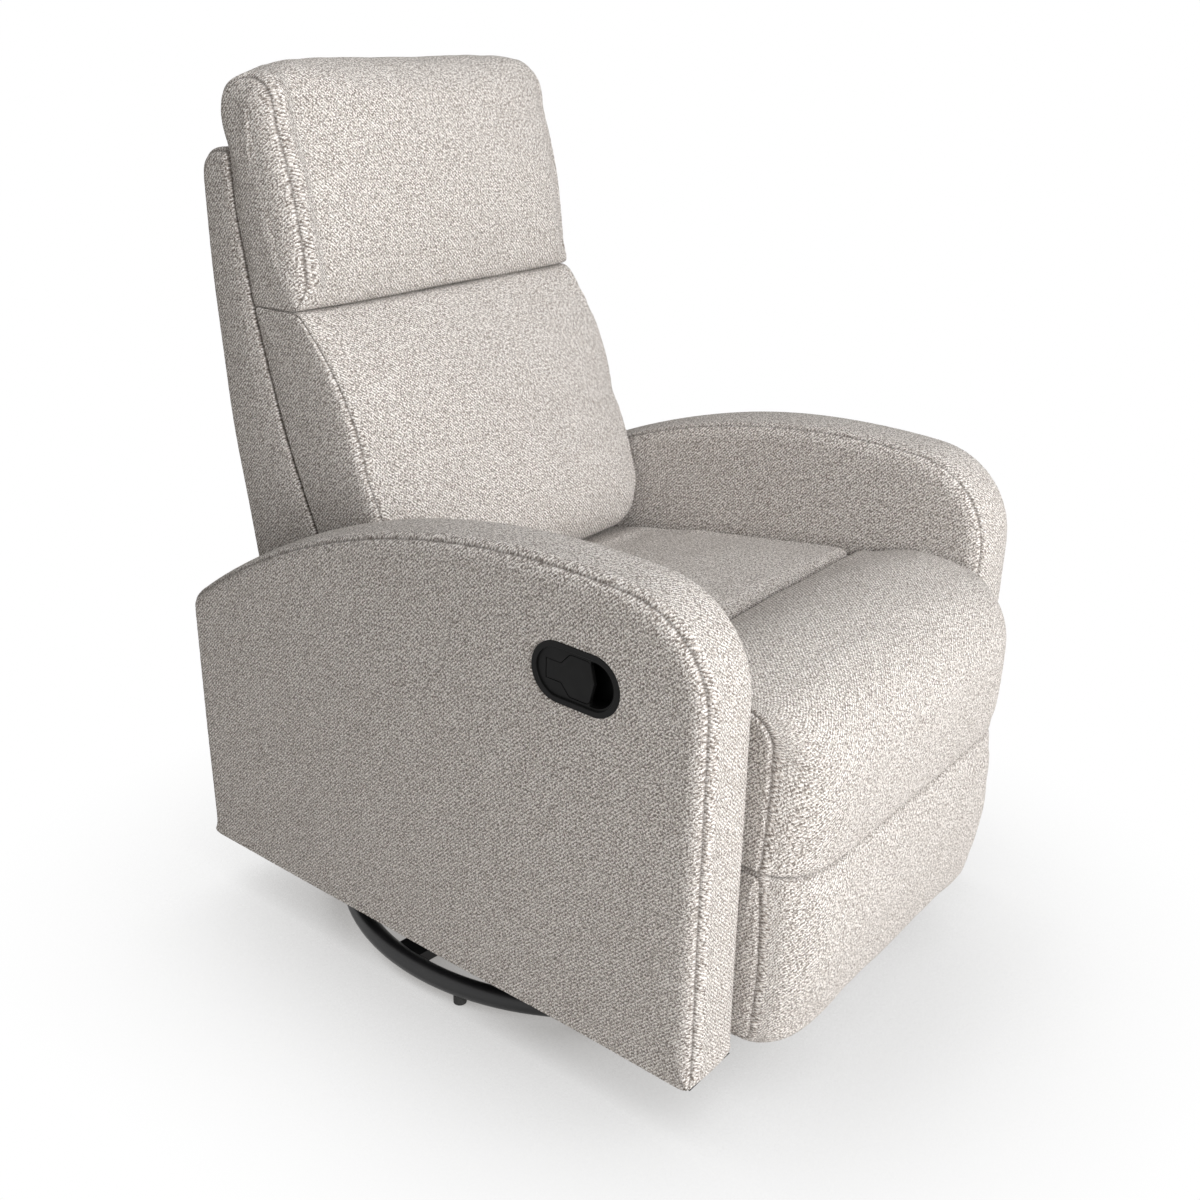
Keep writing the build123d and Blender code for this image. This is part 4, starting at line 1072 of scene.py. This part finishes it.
class RECLINER_OT_seat(bpy.types.Operator):
    """Makes the seat pad, the front roll with its leg pad, and the foot pad"""

    bl_idname = "recliner.seat"
    bl_label = "Seat and footrest"

    def execute(self, context):
        seat = Cover("seat_upholstery", seat_profile, 0.0, CUSHION_HALF, roll=0.014, seed=31)
        dress(seat, "seat_pad", "seat", lambda n, p: (n[..., 2] > 0.6) & (p[..., 1] < 0.12), SEAT_CAP)
        pad = {"roll": 0.006, "round_width": 0.45, "seam_turn": 55}
        front = Cover("front_upholstery", front_profile, 0.0, CUSHION_HALF, seed=32, filled=True, **pad)
        obj = dress(front, "front_bolster", None, front_free, PAD_CAP)
        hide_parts("leg_pad")
        base = Cover("roll_base_upholstery", base_profile, 0.0, CUSHION_HALF, roll=0.006, tight=(), seed=34)
        base.shake()
        upholster(base, "seat", None)
        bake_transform(obj)
        foot = Cover("foot_upholstery", foot_profile, 0.0, CUSHION_HALF, seed=33, **pad)
        dress(
            foot, "foot_pad", "footrest", lambda n, p: (n[..., 1] < -0.2) & (p[..., 2] < 0.288), PAD_CAP
        )
        return {"FINISHED"}


def front_free(normal, point):
    """Where the front cover may swell: its face above the pads' seam and the top of its roll."""
    face = (normal[..., 1] < -0.3) & (point[..., 2] > 0.306)
    return face | ((normal[..., 2] > 0.6) & (point[..., 2] > 0.472))


class RECLINER_OT_studio(bpy.types.Operator):
    """Sets up the floor, the light and the camera"""

    bl_idname = "recliner.studio"
    bl_label = "Studio"

    def execute(self, context):
        studio = context.scene.recliner_studio
        make_floor(studio)
        make_world(studio)
        make_lamp("front_light", (-0.7, -3.2, 1.6), 2.0, studio.key)
        make_lamp("top_light", (-0.2, -0.5, 2.6), 1.6, studio.top)
        make_camera(studio)
        context.scene.view_settings.view_transform = "Standard"
        return {"FINISHED"}


WHITE = (1.0, 1.0, 1.0)
PALE_FLOOR = (0.77, 0.75, 0.73)
SHADOW = (0.30, 0.29, 0.28)
SHADOW_REACH = 0.37
WARM_WHITE = (1.0, 0.98, 0.955)
LIGHT_AIM = Vector((0.0, 0.0, 0.5))


def make_floor(studio):
    """A wide plain floor, white to the camera and darker close to the chair by ambient occlusion."""
    mesh = bpy.data.meshes.new("floor")
    side = 30.0
    corners = [(-side, -side, 0), (side, -side, 0), (side, side, 0), (-side, side, 0)]
    mesh.from_pydata(corners, [], [(0, 1, 2, 3)])
    floor = bpy.data.objects.new("floor", mesh)
    bpy.context.scene.collection.objects.link(floor)
    finish = Finish("studio_floor")
    grain = finish.noise(finish.place(), 3.0, 2.0)
    colour = finish.mix(grain, studio.floor[:], PALE_FLOOR)
    finish.set(Base_Color=colour, Roughness=0.9, Specular_IOR_Level=0.0)
    near = finish.node("ShaderNodeAmbientOcclusion", {"samples": 6}, WHITE, SHADOW_REACH)
    shade = Num(finish, near.outputs["AO"]).between(0.0, 1.0)
    glow = finish.node("ShaderNodeEmission", None, finish.mix(shade, SHADOW, WHITE), 1.0).outputs[0]
    mixer = finish.node("ShaderNodeMixShader", None, finish.seen(), finish.shader.outputs[0], glow)
    finish.feed(finish.tree.nodes["Material Output"].inputs[0], mixer.outputs[0])
    mesh.materials.append(finish.material)


def make_world(studio):
    """White to the camera and to reflections, a plain soft light for everything else."""
    world = bpy.data.worlds.new("studio")
    world.use_nodes = True
    bpy.context.scene.world = world
    nodes = Nodes(world.node_tree)
    seen = nodes.seen()
    background = nodes.tree.nodes["Background"]
    nodes.feed(background.inputs["Color"], nodes.mix(seen, WARM_WHITE, WHITE))
    nodes.feed(background.inputs["Strength"], seen * (1 - studio.ambient) + studio.ambient)


def make_lamp(name, at, size, power):
    """A square soft light aimed at the middle of the chair."""
    lamp = bpy.data.lights.new(name, "AREA")
    lamp.size = size
    lamp.energy = power
    obj = bpy.data.objects.new(name, lamp)
    obj.location = at
    obj.rotation_euler = (LIGHT_AIM - Vector(at)).to_track_quat("-Z", "Y").to_euler()
    bpy.context.scene.collection.objects.link(obj)


def make_camera(studio):
    """The camera at the photograph's place: it looks down along its azimuth with a slight roll."""
    azimuth, elevation, roll = math.radians(-51.78), math.radians(22.81), math.radians(1.0)
    level = math.cos(elevation)
    back = Vector((math.sin(azimuth) * level, -math.cos(azimuth) * level, math.sin(elevation)))
    right = Vector((math.cos(azimuth), math.sin(azimuth), 0.0))
    up = back.cross(right)
    turned = right * math.cos(roll) + up * math.sin(roll)
    upward = up * math.cos(roll) - right * math.sin(roll)
    data = bpy.data.cameras.new("camera")
    data.lens = studio.lens
    data.sensor_width = 36.0
    camera = bpy.data.objects.new("camera", data)
    axes = Matrix((turned, upward, back)).transposed().to_4x4()
    at = (-1.288, -0.996, 1.100)
    camera.matrix_world = Matrix.Translation(at) @ axes
    bpy.context.scene.collection.objects.link(camera)
    bpy.context.scene.camera = camera


OPERATORS = (
    RECLINER_OT_finishes,
    RECLINER_OT_arms,
    RECLINER_OT_dust_covers,
    RECLINER_OT_back,
    RECLINER_OT_seat,
    RECLINER_OT_studio,
)


class RECLINER_PT_pieces(bpy.types.Panel):
    """Lists the pieces of the recliner"""

    bl_label = "Recliner"
    bl_idname = "RECLINER_PT_pieces"
    bl_space_type = "VIEW_3D"
    bl_region_type = "UI"
    bl_category = "Recliner"

    def draw(self, context):
        for operator in OPERATORS:
            self.layout.operator(operator.bl_idname)
        for name, group in PROPS:
            box = self.layout.box()
            for key in group.__annotations__:
                box.prop(getattr(context.scene, name), key)


def register():
    for name, group in PROPS:
        bpy.utils.register_class(group)
        setattr(bpy.types.Scene, name, bpy.props.PointerProperty(type=group))
    for operator in OPERATORS:
        bpy.utils.register_class(operator)
    bpy.utils.register_class(RECLINER_PT_pieces)


def unregister():
    bpy.utils.unregister_class(RECLINER_PT_pieces)
    for operator in reversed(OPERATORS):
        bpy.utils.unregister_class(operator)
    for name, group in reversed(PROPS):
        delattr(bpy.types.Scene, name)
        bpy.utils.unregister_class(group)


def main():
    """Makes every piece in order."""
    register()
    bpy.ops.recliner.finishes()
    bpy.ops.recliner.arms()
    bpy.ops.recliner.dust_covers()
    bpy.ops.recliner.back()
    bpy.ops.recliner.seat()
    bpy.ops.recliner.studio()


if __name__ == "__main__":
    main()
